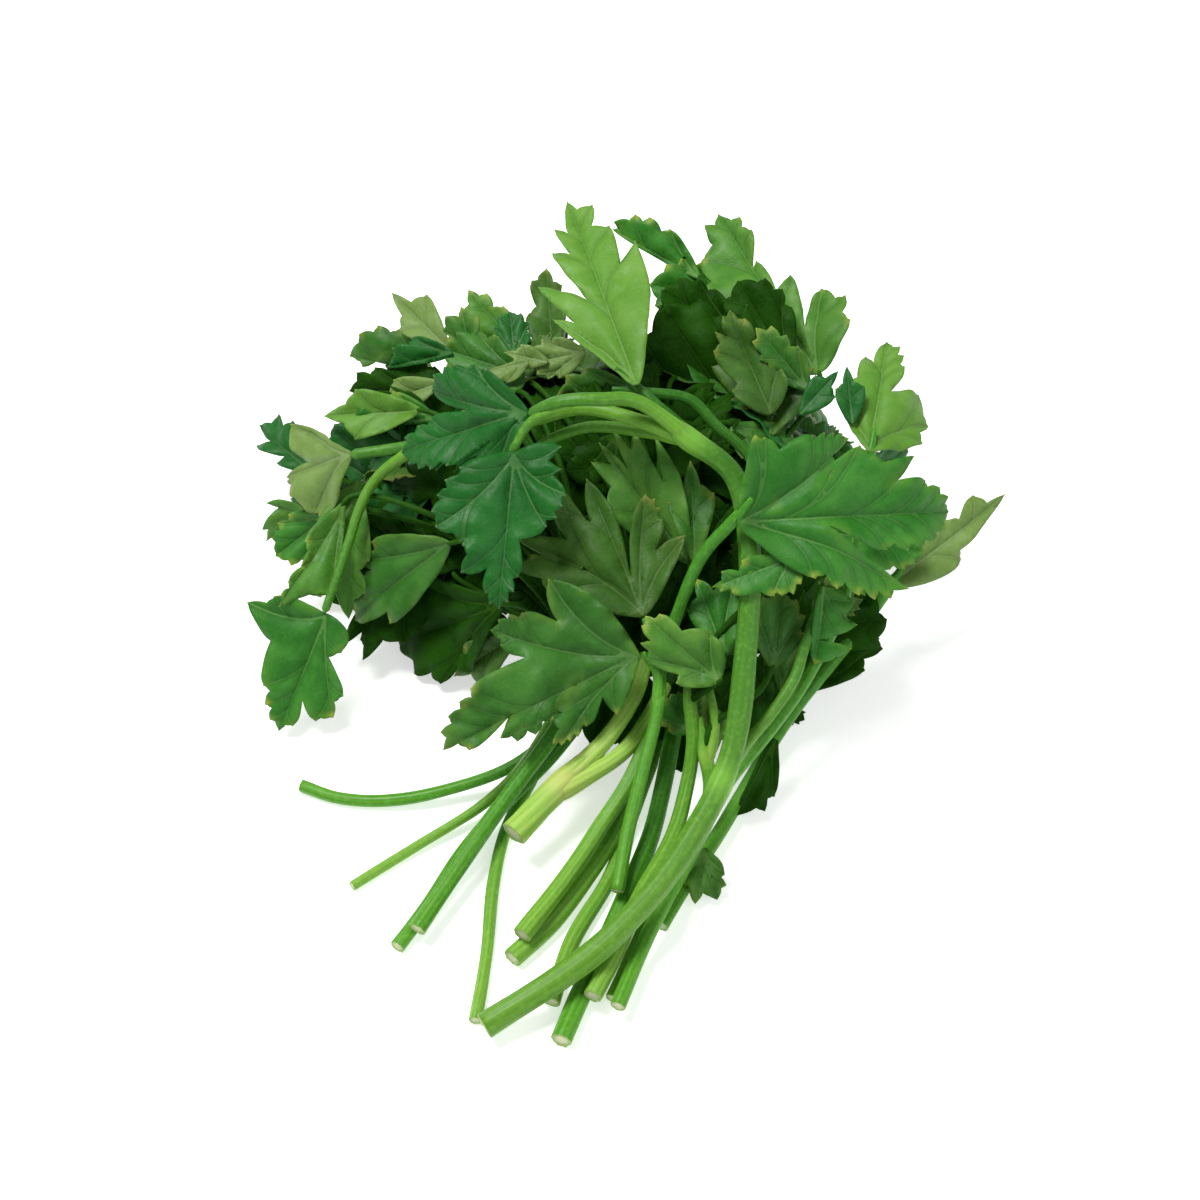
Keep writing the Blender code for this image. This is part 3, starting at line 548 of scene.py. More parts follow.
def stalkTube(run, seed, tail, branchStarts=(), parent=None, cutEnd=True, sides=None):
    # vertices, faces and the four paint layers of one ribbed stalk
    shape = stalkShape
    startRadius, _, points = run
    rng = random.Random(seed)
    route = stalkCourse(points, startRadius, parent, tail)
    count = len(route)
    ahead, side, up = framesAlong(route)
    travel = np.linspace(0, 1, count)
    phases = [rng.uniform(0, 6.28) for _ in range(6)]
    stray = shape["wander"] * np.sin(travel * math.pi)
    length = float(np.linalg.norm(np.diff(route, axis=0), axis=1).sum())
    toSide = stray * np.sin(length * travel / shape["wanderSide"] + phases[0])
    route = route + side * toSide[:, None]
    toTop = stray * np.sin(length * travel / shape["wanderUp"] + phases[1])
    route = route + up * toTop[:, None] * shape["wanderUpShare"]
    radii, joint = stalkRadii(
        run, route, travel, length, parent is not None, branchStarts, tail, phases[2])
    sides = sides or shape["sides" if startRadius > shape["thick"] else "fewerSides"]
    around = np.linspace(0, 2 * math.pi, sides, endpoint=False)
    turn = phases[3] + shape["turn"] * travel[:, None]
    ridge = 0.5 + 0.5 * np.cos(shape["ridges"] * (around + turn) + 0.6 * np.sin(2 * around + phases[4]))
    fromChannel = np.mod(around + turn - phases[5], 2 * math.pi) - math.pi
    channel = np.exp(-(fromChannel / shape["channelWidth"]) ** 2)
    scale = 1 + shape["ridgeDepth"] * (ridge - 0.5) * 2 - shape["grooveDepth"] * channel
    reach = radii[:, None] * scale
    rings = route[:, None] + reach[..., None] * (
        np.cos(around)[None, :, None] * side[:, None] + np.sin(around)[None, :, None] * up[:, None])
    verts = [rings.reshape(-1, 3)]
    layers = {
        "ridge": [ridge.ravel()],
        "grow": [np.repeat(travel, sides)],
        "joint": [np.repeat(joint, sides)],
        "cut": [np.zeros(count * sides)],
    }
    faces = []
    for ring in range(count - 1):
        for k in range(sides):
            after = (k + 1) % sides
            faces.append((ring * sides + k, ring * sides + after,
                          (ring + 1) * sides + after, (ring + 1) * sides + k))
    total = count * sides
    for end in (0, count - 1):
        isCut = cutEnd and end == 0
        outward = ahead[end] * (1 if end else -1)
        previous = [end * sides + k for k in range(sides)]
        for inward, rim in endRings(route[end], rings[end], outward, radii[end], isCut, rng):
            verts.append(rim)
            ring = [total + k for k in range(sides)]
            for k in range(sides):
                after = (k + 1) % sides
                loop = (previous[k], previous[after], ring[after], ring[k])
                faces.append(loop if end else loop[::-1])
            layers["ridge"].append(np.full(sides, 0.5))
            layers["grow"].append(np.full(sides, travel[end]))
            layers["joint"].append(np.full(sides, joint[end]))
            layers["cut"].append(np.full(sides, 1 - 0.7 * inward if isCut else 0.0))
            previous = ring
            total += sides
        faces.append(tuple(previous) if end else tuple(reversed(previous)))
    return np.vstack(verts), faces, {name: np.concatenate(parts) for name, parts in layers.items()}


def joinShapes(shapes):
    # several shapes as one set of vertices, faces and layers
    verts, faces, layers, count = [], [], {}, 0
    for shapeVerts, shapeFaces, shapeLayers in shapes:
        verts.append(shapeVerts)
        faces += [tuple(index + count for index in face) for face in shapeFaces]
        for name, values in shapeLayers.items():
            layers.setdefault(name, []).append(values)
        count += len(shapeVerts)
    return np.vstack(verts), faces, {name: np.concatenate(parts) for name, parts in layers.items()}


def makePiece(name, verts, faces, layers, finishes):
    mesh = bpy.data.meshes.new(name)
    mesh.from_pydata((verts * mm).tolist(), [], faces)
    for layerName, values in layers.items():
        layer = mesh.attributes.new(layerName, "FLOAT", "POINT")
        layer.data.foreach_set("value", np.asarray(values, np.float32))
    for finish in finishes:
        mesh.materials.append(finish)
    mesh.shade_smooth()
    piece = bpy.data.objects.new(name, mesh)
    bpy.context.scene.collection.objects.link(piece)
    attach(piece, "root")
    return piece


class NodeTree:
    # short ways to add and link shader nodes
    def __init__(self, name):
        self.material = bpy.data.materials.new(name)
        self.material.use_nodes = True
        self.tree = self.material.node_tree
        self.shader = self.tree.nodes["Principled BSDF"]
        self.output = self.tree.nodes["Material Output"]

    def add(self, kind, **settings):
        node = self.tree.nodes.new(kind)
        for key, value in settings.items():
            setattr(node, key, value)
        return node

    def put(self, value, socket):
        if isinstance(value, bpy.types.NodeSocket):
            self.tree.links.new(value, socket)
        elif isinstance(value, tuple) and len(value) == 3 and socket.type == "RGBA":
            socket.default_value = (*value, 1)
        else:
            socket.default_value = value

    def layer(self, name):
        return self.add("ShaderNodeAttribute", attribute_name=name).outputs["Fac"]

    def math(self, operation, first, second=0.0, clamp=False):
        node = self.add("ShaderNodeMath", operation=operation, use_clamp=clamp)
        self.put(first, node.inputs[0])
        self.put(second, node.inputs[1])
        return node.outputs[0]

    def span(self, value, low, high, toLow=0.0, toHigh=1.0):
        node = self.add("ShaderNodeMapRange", interpolation_type="SMOOTHSTEP")
        self.put(value, node.inputs[0])
        for index, limit in enumerate((low, high, toLow, toHigh), 1):
            node.inputs[index].default_value = limit
        return node.outputs[0]

    def noise(self, where, scale, detail=3.0, roughness=0.5, distortion=0.0):
        node = self.add("ShaderNodeTexNoise")
        self.put(where, node.inputs["Vector"])
        node.inputs["Scale"].default_value = scale
        node.inputs["Detail"].default_value = detail
        node.inputs["Roughness"].default_value = roughness
        node.inputs["Distortion"].default_value = distortion
        return node.outputs["Fac"]

    def cells(self, where, scale):
        node = self.add("ShaderNodeTexVoronoi", feature="DISTANCE_TO_EDGE")
        self.put(where, node.inputs["Vector"])
        node.inputs["Scale"].default_value = scale
        return node.outputs["Distance"]

    def mix(self, amount, first, second, blend="MIX"):
        node = self.add("ShaderNodeMix", data_type="RGBA", blend_type=blend)
        self.put(amount, node.inputs[0])
        self.put(first, node.inputs[6])
        self.put(second, node.inputs[7])
        return node.outputs[2]

    def tint(self, body, where, strength, colour):
        return self.mix(self.math("MULTIPLY", where, strength), body, colour)

    def bump(self, height, strength, distance, before=None):
        node = self.add("ShaderNodeBump")
        node.inputs["Strength"].default_value = strength
        node.inputs["Distance"].default_value = distance
        self.put(height, node.inputs["Height"])
        if before is not None:
            self.put(before, node.inputs["Normal"])
        return node.outputs[0]


# Each stalk's colours: low at the cut end, high at the leaves.
stalkLooks = {
    "main": dict(low=(0.13, 0.31, 0.025), high=(0.055, 0.2, 0.016), dark=(0.05, 0.2, 0.012)),
    "lime": dict(low=(0.34, 0.56, 0.09), high=(0.25, 0.5, 0.07), dark=(0.18, 0.4, 0.04)),
    "fresh": dict(low=(0.1, 0.32, 0.02), high=(0.055, 0.24, 0.015), dark=(0.025, 0.14, 0.008)),
    # painted shade: stalks deep in the bunch are coloured darker, standing in for the shade there
    "deep": dict(low=(0.05, 0.2, 0.012), high=(0.025, 0.13, 0.008), dark=(0.015, 0.08, 0.006)),
    "pale": dict(low=(0.2, 0.42, 0.045), high=(0.11, 0.32, 0.025), dark=(0.07, 0.23, 0.015)),
    "shaded": dict(
        low=(0.015, 0.07, 0.004), high=(0.02, 0.085, 0.004), dark=(0.01, 0.05, 0.003), shine=0.05),
}


stalkPattern = {
    "mottle": dict(scale=90, detail=4),
    "streak": dict(scale=900, detail=2),
    "fine": dict(scale=1800, detail=3),
    "mottling": 0.35,
    "valleys": 0.45,  # how dark the grooves are
    "streaks": 0.22,
    "joints": 0.6,
    "pith": (0.62, 0.66, 0.42),
    "rind": (0.3, 0.42, 0.12),
    "roughness": (0.36, 0.52),
    "shine": 0.25,
    "depth": 0.25,  # how much light enters the stalk
    "depthReach": (0.4, 1.0, 0.15),
    "depthScale": 0.0015,
}


def stalkFinish(name, look):
    kit = NodeTree(name)
    where = kit.add("ShaderNodeTexCoord").outputs["Object"]
    grow, ridge, joint, cut = (kit.layer(layer) for layer in ("grow", "ridge", "joint", "cut"))
    pattern = stalkPattern
    mottle = kit.noise(where, **pattern["mottle"])
    uneven = kit.math("MULTIPLY", kit.math("SUBTRACT", mottle, 0.5), pattern["mottling"])
    body = kit.mix(kit.span(kit.math("ADD", grow, uneven), 0.0, 0.85), look["low"], look["high"])
    body = kit.tint(body, kit.span(ridge, 0.55, 0.05), pattern["valleys"], look["dark"])
    streak = kit.noise(where, **pattern["streak"])
    pale = tuple(min(1.7 * value + 0.02, 0.6) for value in look["low"])
    body = kit.tint(body, kit.span(streak, 0.45, 0.75), pattern["streaks"], pale)
    body = kit.tint(body, joint, pattern["joints"], pale)
    pith = kit.mix(kit.span(cut, 0.4, 0.75), pattern["rind"], pattern["pith"])
    body = kit.mix(kit.span(cut, 0.05, 0.3), body, pith)
    kit.put(body, kit.shader.inputs["Base Color"])
    kit.put(kit.span(mottle, 0.3, 0.7, *pattern["roughness"]), kit.shader.inputs["Roughness"])
    kit.put(kit.bump(kit.noise(where, **pattern["fine"]), 0.25, 0.0002), kit.shader.inputs["Normal"])
    kit.shader.inputs["Subsurface Weight"].default_value = pattern["depth"]
    kit.shader.inputs["Subsurface Radius"].default_value = pattern["depthReach"]
    kit.shader.inputs["Subsurface Scale"].default_value = pattern["depthScale"]
    kit.shader.inputs["Specular IOR Level"].default_value = look.get("shine", pattern["shine"])
    return kit.material


stalkLook = {
    "stem_main": "main", "stem_blunt": "lime", "stem_far_left": "fresh", "stem_left_outer": "pale",
    "stem_left_lower": "fresh", "stem_left_upper": "fresh", "stem_front_thin": "pale",
    "stem_short_upper": "pale", "stem_short_lower": "pale", "stem_middle_slim": "pale",
    "stem_middle_thick": "fresh", "stem_middle_pale": "pale", "stem_middle_jointed": "pale",
    "stem_right": "fresh", "stem_right_low": "fresh", "stem_long_thin": "fresh",
    "stem_back_short": "deep", "stem_back_long": "deep",
}

stalkFinishes = {look: stalkFinish("stalk_" + look, colours) for look, colours in stalkLooks.items()}


def makeStalk(name, runs):
    starts = [run[2][0] for run in runs[1:]]
    shapes = [stalkTube(runs[0], name, stalkShape["tail"], branchStarts=starts)]
    lines = [smoothRoute(run[2], stalkShape["step"]) for run in runs]
    for index, run in enumerate(runs[1:], 1):
        start = np.array(run[2][0], float)
        parent = min(lines[:index], key=lambda line: np.linalg.norm(line - start, axis=1).min())
        tail = stalkShape["branchTail"]
        shapes.append(stalkTube(run, f"{name}{index}", tail, parent=parent, cutEnd=False))
    verts, faces, layers = joinShapes(shapes)
    verts[:, 2] = np.maximum(verts[:, 2], stalkShape["table"])
    piece = makePiece(name + "_ribbed", verts, faces, layers, [stalkFinishes[stalkLook[name]]])
    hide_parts(name)


for stalkName, runs in stalkRuns.items():
    makeStalk(stalkName, runs)
print("stalks made:", len(stalkRuns))


# How every blade is built. Lengths in mm.
bladeShape = {
    "thickness": 0.3,
    "grid": 0.75,  # spacing of the points inside a blade
    "edgeStep": 0.7,
    "stray": 0.12,  # how unevenly those points lie, as a part of their spacing
    "clear": 0.45,  # the least distance from them to an edge or a vein, as a part of it
    "bite": 0.28,  # depth of a tooth, as a part of the space between two
    "biteRange": (0.75, 1.25),  # how much teeth differ
    "biteFade": 0.35,  # and how much less deep the ones near the tip are
    "toothStray": 0.12,
    "cutBack": 0.3,  # how far behind a tooth, and how far in, its notch lies
    "mostClosed": 0.42,  # how far two lobes may swell towards each other, as a part of the space between
    "firstTooth": 0.28,  # the part of a lobe's side that has none
    "kneeAt": 0.72,  # where along its side a lobe swells most
    "shoulder": 0.22,  # how far a tooth's sides swell, as a part of their length
    "mostSwell": 0.8,  # and the most that they do
    "round": 0.3,  # roundness of a tooth's end, as a part of its side
    "mostRound": 1.8,
    "mucro": 0.3,  # the small point on each tooth
    "ribSpread": 23.0,  # degrees between two ribs that leave the stalk
    "mostRibs": 7,
    "ribReach": 0.42,  # a lobe this far out, as a part of the length, can have a rib
    "strayCost": 40,  # mm that a side vein outside the blade counts for
    "mostCost": 30,
    "veinAngle": 1.25,  # how far back along its rib a side vein starts
    "pleat": 1.6,  # rise of the blade away from its ribs
    "pleatWidth": 4,
    "quilt": 0.5,  # puffing between the veins
    "quiltWidth": 1.2,
    "droop": 0.4,  # how far the margin turns down
    "droopWidth": 1.3,
    "ripple": 0.45,  # waves of the margin
    "rippleWidth": 2.2,
    "swell": 0.5,  # slow waves of the whole blade
    "waves": 4,
    "wavePace": (0.75, 1.3),  # radians a mm
    "slowPace": 0.3,  # the slow waves' pace, as a part of the others'
    "fullSize": 25,  # length from which a leaf has all of these waves
    "plainStart": 4,  # the blade is flat at its stalk and at full height from here
    "stub": 0.6,  # half the width where a blade meets its stalk
    "table": 1.2,  # its middle sheet stays this many thicknesses above the table
    "planSize": 60,  # mm that the pattern of the finish spans
}


def bezier(start, first, second, end, step):
    count = max(2, math.ceil(np.linalg.norm(end - start) / step) + 1)
    share = np.linspace(0, 1, count)[:, None]
    back = 1 - share
    return (back ** 3 * start + 3 * back ** 2 * share * first
            + 3 * back * share ** 2 * second + share ** 3 * end)


def lobeSide(low, high, teeth, swell, hand, bite, rng):
    # corners of a lobe's side, from a notch up to its tip; hand is 1 on the right side and -1 on the left
    shape = bladeShape
    run = high - low
    knee = low + run * shape["kneeAt"] + np.array((run[1], -run[0])) * hand * swell / 50
    gap = (1 - shape["firstTooth"]) / (teeth + 0.7)

    def at(share, rise):
        heading = (1 - share) * (knee - low) + share * (high - knee)
        outward = np.array((heading[1], -heading[0])) * hand / np.hypot(*heading)
        bend = (1 - share) ** 2 * low + 2 * share * (1 - share) * knee + share ** 2 * high
        return bend + outward * rise * np.hypot(*run)

    spots = []
    for index in range(teeth):
        stray = rng.uniform(-shape["toothStray"], shape["toothStray"])
        share = shape["firstTooth"] + (index + 0.6 + stray) * gap
        depth = bite * gap * rng.uniform(*shape["biteRange"]) * (1 - shape["biteFade"] * share)
        spots.append(("tip", at(share, depth)))
        spots.append(("notch", at(share + shape["cutBack"] * gap, -shape["cutBack"] * depth)))
    if not teeth and abs(swell) > 3:
        spots.append(("bend", at(0.5, 0.0)))
    return spots


def openSwells(lobes, tips, feet):
    # how far the two sides of each lobe swell, kept small enough that no notch closes
    swells = [[lobe[1][1], lobe[2][1]] for lobe in lobes]
    for index, notch in enumerate(feet[1:-1]):
        left, right = tips[index] - notch, tips[index + 1] - notch
        space = abs(left[0] * right[1] - left[1] * right[0]) / max(np.hypot(*left), np.hypot(*right))
        bulge = (swells[index][1] * np.hypot(*left) + swells[index + 1][0] * np.hypot(*right)) / 100
        if bulge > bladeShape["mostClosed"] * space:
            share = bladeShape["mostClosed"] * space / bulge
            swells[index][1] *= share
            swells[index + 1][0] *= share
    return swells


def bladeCorners(leaf, rng):
    # the outline's corners in mm, counter-clockwise, and what each is: a tooth tip, a notch or a bend
    lobes = bladeForms[leaf["form"]]
    length = math.dist(leaf["base"], leaf["tip"])
    scale = np.array((leaf.get("wide", 1.0), 1.0)) * length / 100
    bite = leaf.get("bite", bladeShape["bite"])
    tips = [np.array(lobe[0]) * scale for lobe in lobes]
    feet = [np.array(lobe[3]) * scale for lobe in lobes[:-1]]
    feet = [np.array((bladeShape["stub"], 0.0))] + feet + [np.array((-bladeShape["stub"], 0.0))]
    spots = []
    for index, (swellRight, swellLeft) in enumerate(openSwells(lobes, tips, feet)):
        tip, (rightTeeth, _), (leftTeeth, _) = tips[index], lobes[index][1], lobes[index][2]
        spots.append(("notch", feet[index]))
        spots += lobeSide(feet[index], tip, rightTeeth, swellRight, 1, bite, rng)
        spots.append(("tip", tip))
        spots += reversed(lobeSide(feet[index + 1], tip, leftTeeth, swellLeft, -1, bite, rng))
    spots.append(("root", feet[-1]))
    spots[0] = ("root", feet[0])
    if leaf.get("mirrored"):
        spots = [(kind, corner * (-1, 1)) for kind, corner in reversed(spots)]
    return [corner for _, corner in spots], [kind for kind, _ in spots], length


def bladeOutline(corners, kinds):
    # rounded teeth with a small point each, drawn corner to corner
    shape = bladeShape
    count = len(corners)
    axes, along, narrow = [], [], []  # narrow is 0 on a slit or spike and 1 on a straight edge
    for index, corner in enumerate(corners):
        before, after = corners[index - 1], corners[(index + 1) % count]
        one, other = unit(before - corner), unit(after - corner)
        axes.append(unit(corner - (before + after) / 2))
        along.append(unit(after - before))
        narrow.append(math.sqrt(max(0.0, (1 - one @ other) / 2)))
    outline = []
    for index, start in enumerate(corners[:-1]):
        other = index + 1
        end = corners[other]
        run = end - start
        reach = max(float(np.hypot(*run)), 0.1)
        outward = np.array((run[1], -run[0])) / reach
        tight = min(narrow[spot] if kinds[spot] in ("tip", "notch") else 1.0 for spot in (index, other))
        swell = min(shape["shoulder"] * reach, shape["mostSwell"]) * tight
        first = start + run * 0.33 + outward * swell
        second = end - run * 0.33 + outward * swell
        if kinds[index] == "bend":
            first = start + along[index] * 0.33 * reach
        if kinds[other] == "bend":
            second = end - along[other] * 0.33 * reach
        nose = min(shape["round"] * reach, shape["mostRound"])
        if kinds[index] == "tip":
            first = start + np.array((-axes[index][1], axes[index][0])) * nose * narrow[index] + run * 0.12
        if kinds[other] == "tip":
            second = end - np.array((-axes[other][1], axes[other][0])) * nose * narrow[other] - run * 0.12
        points = bezier(start, first, second, end, shape["edgeStep"])
        if kinds[index] == "tip":
            points[0] = start + axes[index] * shape["mucro"]
        outline += list(points[:-1])
    return np.array(outline + [corners[-1]])


def awayFromSegments(points, starts, ends):
    # how far each point is from the nearest of many short lines
    nearest = np.full(len(points), 99.0)
    runs = ends - starts
    squares = np.maximum((runs ** 2).sum(axis=1), 1e-12)
    for first in range(0, len(points), 2000):
        gap = points[first:first + 2000, None] - starts
        share = np.clip((gap * runs).sum(axis=2) / squares, 0, 1)
        away = np.hypot(gap[..., 0] - share * runs[:, 0], gap[..., 1] - share * runs[:, 1])
        nearest[first:first + 2000] = away.min(axis=1)
    return nearest


def insideOutline(points, outline, withEdge=True):
    # which points lie inside the outline, and how far each is from its edge
    starts, ends = outline, np.roll(outline, -1, axis=0)
    runs = ends - starts
    rise = np.where(runs[:, 1] == 0, 1e-9, runs[:, 1])
    above = points[:, None, 1]
    crosses = (starts[:, 1] > above) != (ends[:, 1] > above)
    left = points[:, None, 0] < starts[:, 0] + runs[:, 0] * (above - starts[:, 1]) / rise
    inside = (crosses & left).sum(axis=1) % 2 == 1
    return inside, awayFromSegments(points, starts, ends) if withEdge else None


def awayFromLines(points, lines):
    if not lines:
        return np.full(len(points), 99.0)
    starts = np.vstack([line[:-1] for line in lines])
    ends = np.vstack([line[1:] for line in lines])
    return awayFromSegments(points, starts, ends)


def curveTo(start, heading, end, step):
    # a vein that leaves with a heading and bends to its end
    run = end - start
    control = start + heading * 0.45 * np.hypot(*run)
    count = max(3, math.ceil(np.hypot(*run) / step) + 1)
    share = np.linspace(0, 1, count)[:, None]
    return (1 - share) ** 2 * start + 2 * share * (1 - share) * control + share ** 2 * end


def bladeRibs(tips, outline, length):
    # the lines that run from the stalk to the main lobes, and the tips that have none
    shape = bladeShape
    base = np.array((0.0, 0.02 * length))
    bearings, ribs, rest = [], [], []
    for tip in tips:
        bearing = math.degrees(math.atan2(tip[0], tip[1]))
        clear = all(abs(bearing - other) > shape["ribSpread"] for other in bearings)
        far = np.hypot(*tip) > shape["ribReach"] * length
        heading = unit(0.62 * unit(tip) + 0.38 * np.array((0.0, 1.0)))
        line = curveTo(base, heading, tip - unit(tip - base) * 0.5, shape["grid"])
        inside, _ = insideOutline(line[2:-1], outline, False)
        if not ribs or (clear and far and len(ribs) < shape["mostRibs"] and inside.all()):
            bearings.append(bearing)
            ribs.append(line)
        else:
            rest.append(tip)
    return ribs, rest


def sideVein(tip, ribs, outline):
    # the best line from a rib to one tooth, or none
    shape = bladeShape
    best, least = None, shape["mostCost"]
    for line in ribs:
        away = np.linalg.norm(line - tip, axis=1)
        foot = int(away.argmin())
        gap = away[foot]
        span = np.linalg.norm(line[-1] - line[0]) / (len(line) - 1)
        start = max(1, foot - int(shape["veinAngle"] * gap / span))
        forward = unit(line[min(start + 1, len(line) - 1)] - line[start - 1])
        across = unit(tip - line[start])
        vein = curveTo(line[start], unit(forward + 0.6 * across), tip - across * 0.4, shape["grid"])
        inside, _ = insideOutline(vein[1:-1], outline, False)
        cost = gap + shape["strayCost"] * (len(inside) - inside.sum()) / max(len(inside), 1)
        if cost < least:
            best, least = vein, cost
    return best


def bladeVeins(corners, kinds, outline, length):
    # ribs, side veins and the tips that they run to, the middle and the largest lobes first
    tips = [corner for corner, kind in zip(corners, kinds) if kind == "tip"]
    inside, depth = insideOutline(np.array(tips), outline)
    tips = [tip for tip, isIn, far in zip(tips, inside, depth) if not (isIn and far > 0.6)]
    tips.sort(key=lambda tip: -np.hypot(*tip) * (1 + 0.25 * (abs(tip[0]) < 0.02 * length)))
    ribs, rest = bladeRibs(tips, outline, length)
    veins = [sideVein(tip, ribs, outline) for tip in rest]
    return ribs, [vein for vein in veins if vein is not None], np.array(tips)


def bendBlade(leaf, flat, length, height):
    # flat blade points (across, along) in mm to places in the bunch
    base = np.array(leaf["base"], float)
    axis = (np.array(leaf["tip"], float) - base) / length
    side = unit(np.cross(axis, leaf.get("face", front)))
    up = np.cross(side, axis)
    along = flat[:, 1:] / length
    across = flat[:, :1]
    roll = np.radians(leaf.get("roll", 0))
    rolledSide = np.cos(roll) * side + np.sin(roll) * up
    rolledUp = np.cos(roll) * up - np.sin(roll) * side
    turn = math.radians(leaf.get("cup", 6)) / (0.4 * length)
    reach = np.sin(turn * across) / turn
    lift = (1 - np.cos(turn * across)) / turn
    lift = lift + leaf.get("bow", 0) * 4 * along * (1 - along) + height[:, None]
    return base + axis * length * along + rolledSide * reach + rolledUp * lift


def bladePlan(leaf, grid, rng):
    # the flat blade: its points in mm, triangles that keep to its edge and veins, and how far each point is
    # from each of them
    corners, kinds, length = bladeCorners(leaf, rng)
    outline = bladeOutline(corners, kinds)
    ribs, veins, tips = bladeVeins(corners, kinds, outline, length)
    low, high = outline.min(axis=0), outline.max(axis=0)

    def stray():
        return rng.uniform(-bladeShape["stray"], bladeShape["stray"]) * grid

    spots = []
    for index, along in enumerate(np.arange(low[1], high[1], grid * 0.87)):
        for across in np.arange(low[0] + (index % 2) * grid / 2, high[0], grid):
            spots.append((across + stray(), along + stray()))
    spots = np.array(spots)
    inside, edgeAway = insideOutline(spots, outline)
    lineAway = awayFromLines(spots, ribs + veins)
    clear = bladeShape["clear"] * grid
    spots = spots[inside & (edgeAway > clear) & (lineAway > clear)]
    points = list(outline)
    edges = [(index, (index + 1) % len(outline)) for index in range(len(outline))]
    for line in ribs + veins:
        edges += [(len(points) + k, len(points) + k + 1) for k in range(len(line) - 1)]
        points += list(line)
    points = np.vstack((points, spots))
    found = delaunay_2d_cdt([Vector(point) for point in points], edges, [], 1, 0.01)
    flat = np.array([tuple(point) for point in found[0]])
    layers = {
        "rib": awayFromLines(flat, ribs),
        "vein": awayFromLines(flat, veins),
        "edge": awayFromSegments(flat, outline, np.roll(outline, -1, axis=0)),
        "tooth": np.min([np.linalg.norm(flat - tip, axis=1) for tip in tips], axis=0),
        "along": flat[:, 1] / length,
    }
    return flat, [tuple(face) for face in found[2]], layers, length


def bladeHeight(flat, layers, length, rng):
    # how far each point stands out of the flat blade: pleats, puffed fields, a turned edge and waves
    shape = bladeShape
    across, along = flat[:, 0], flat[:, 1]
    nearLine = np.minimum(layers["rib"], layers["vein"])
    ripple, swell = 0, 0
    for _ in range(shape["waves"]):
        turn, pace, phase = rng.uniform(0, 6.28), rng.uniform(*shape["wavePace"]), rng.uniform(0, 6.28)
        aslant = across * math.cos(turn) + along * math.sin(turn)
        ripple = ripple + np.sin(aslant * pace + phase)
        aslant = across * math.sin(turn) + along * math.cos(turn)
        swell = swell + np.sin(aslant * pace * shape["slowPace"] + phase)
    size = min(1.0, length / shape["fullSize"])
    height = shape["pleat"] * (0.5 - np.exp(-layers["rib"] / shape["pleatWidth"]))
    height = height + shape["quilt"] * (0.5 - np.exp(-(nearLine / shape["quiltWidth"]) ** 2))
    height = height - shape["droop"] * np.exp(-layers["edge"] / shape["droopWidth"])
    margin = np.exp(-layers["edge"] / shape["rippleWidth"])
    height = height + shape["ripple"] * size * ripple / 2 * margin
    height = height + shape["swell"] * size * swell
    return height * smoothStep(0, shape["plainStart"], np.hypot(across, along))


def bladeSheet(leaf, seed, grid=None):
    # the blade as one crumpled sheet: points, triangles and paint layers
    rng = random.Random(seed)
    flat, triangles, layers, length = bladePlan(leaf, grid or bladeShape["grid"], rng)
    verts = bendBlade(leaf, flat, length, bladeHeight(flat, layers, length, rng))
    verts[:, 2] = np.maximum(verts[:, 2], bladeShape["table"] * bladeShape["thickness"])
    layers["tone"] = np.full(len(flat), rng.random())
    return verts, triangles, layers, flat


def makeLeaf(name, leaf, looks, replacesNode=None, grid=None):
    verts, triangles, layers, flat = bladeSheet(leaf, name, grid)
    finishes = [leafFinishes[looks], leafFinishes[looks + "_under"]]
    piece = makePiece(name + "_veined", verts, triangles, layers, finishes)
    plan = piece.data.uv_layers.new(name="plan")
    corners = np.zeros(len(piece.data.loops), np.int32)
    piece.data.loops.foreach_get("vertex_index", corners)
    spread = flat[corners] / bladeShape["planSize"] + 0.5
    plan.data.foreach_set("uv", spread.astype(np.float32).ravel())
    thicken = piece.modifiers.new("thickness", "SOLIDIFY")
    thicken.thickness = bladeShape["thickness"] * mm
    thicken.offset = 0
    thicken.material_offset = 1
    thicken.material_offset_rim = 0
    if replacesNode:
        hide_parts(replacesNode)
    return piece


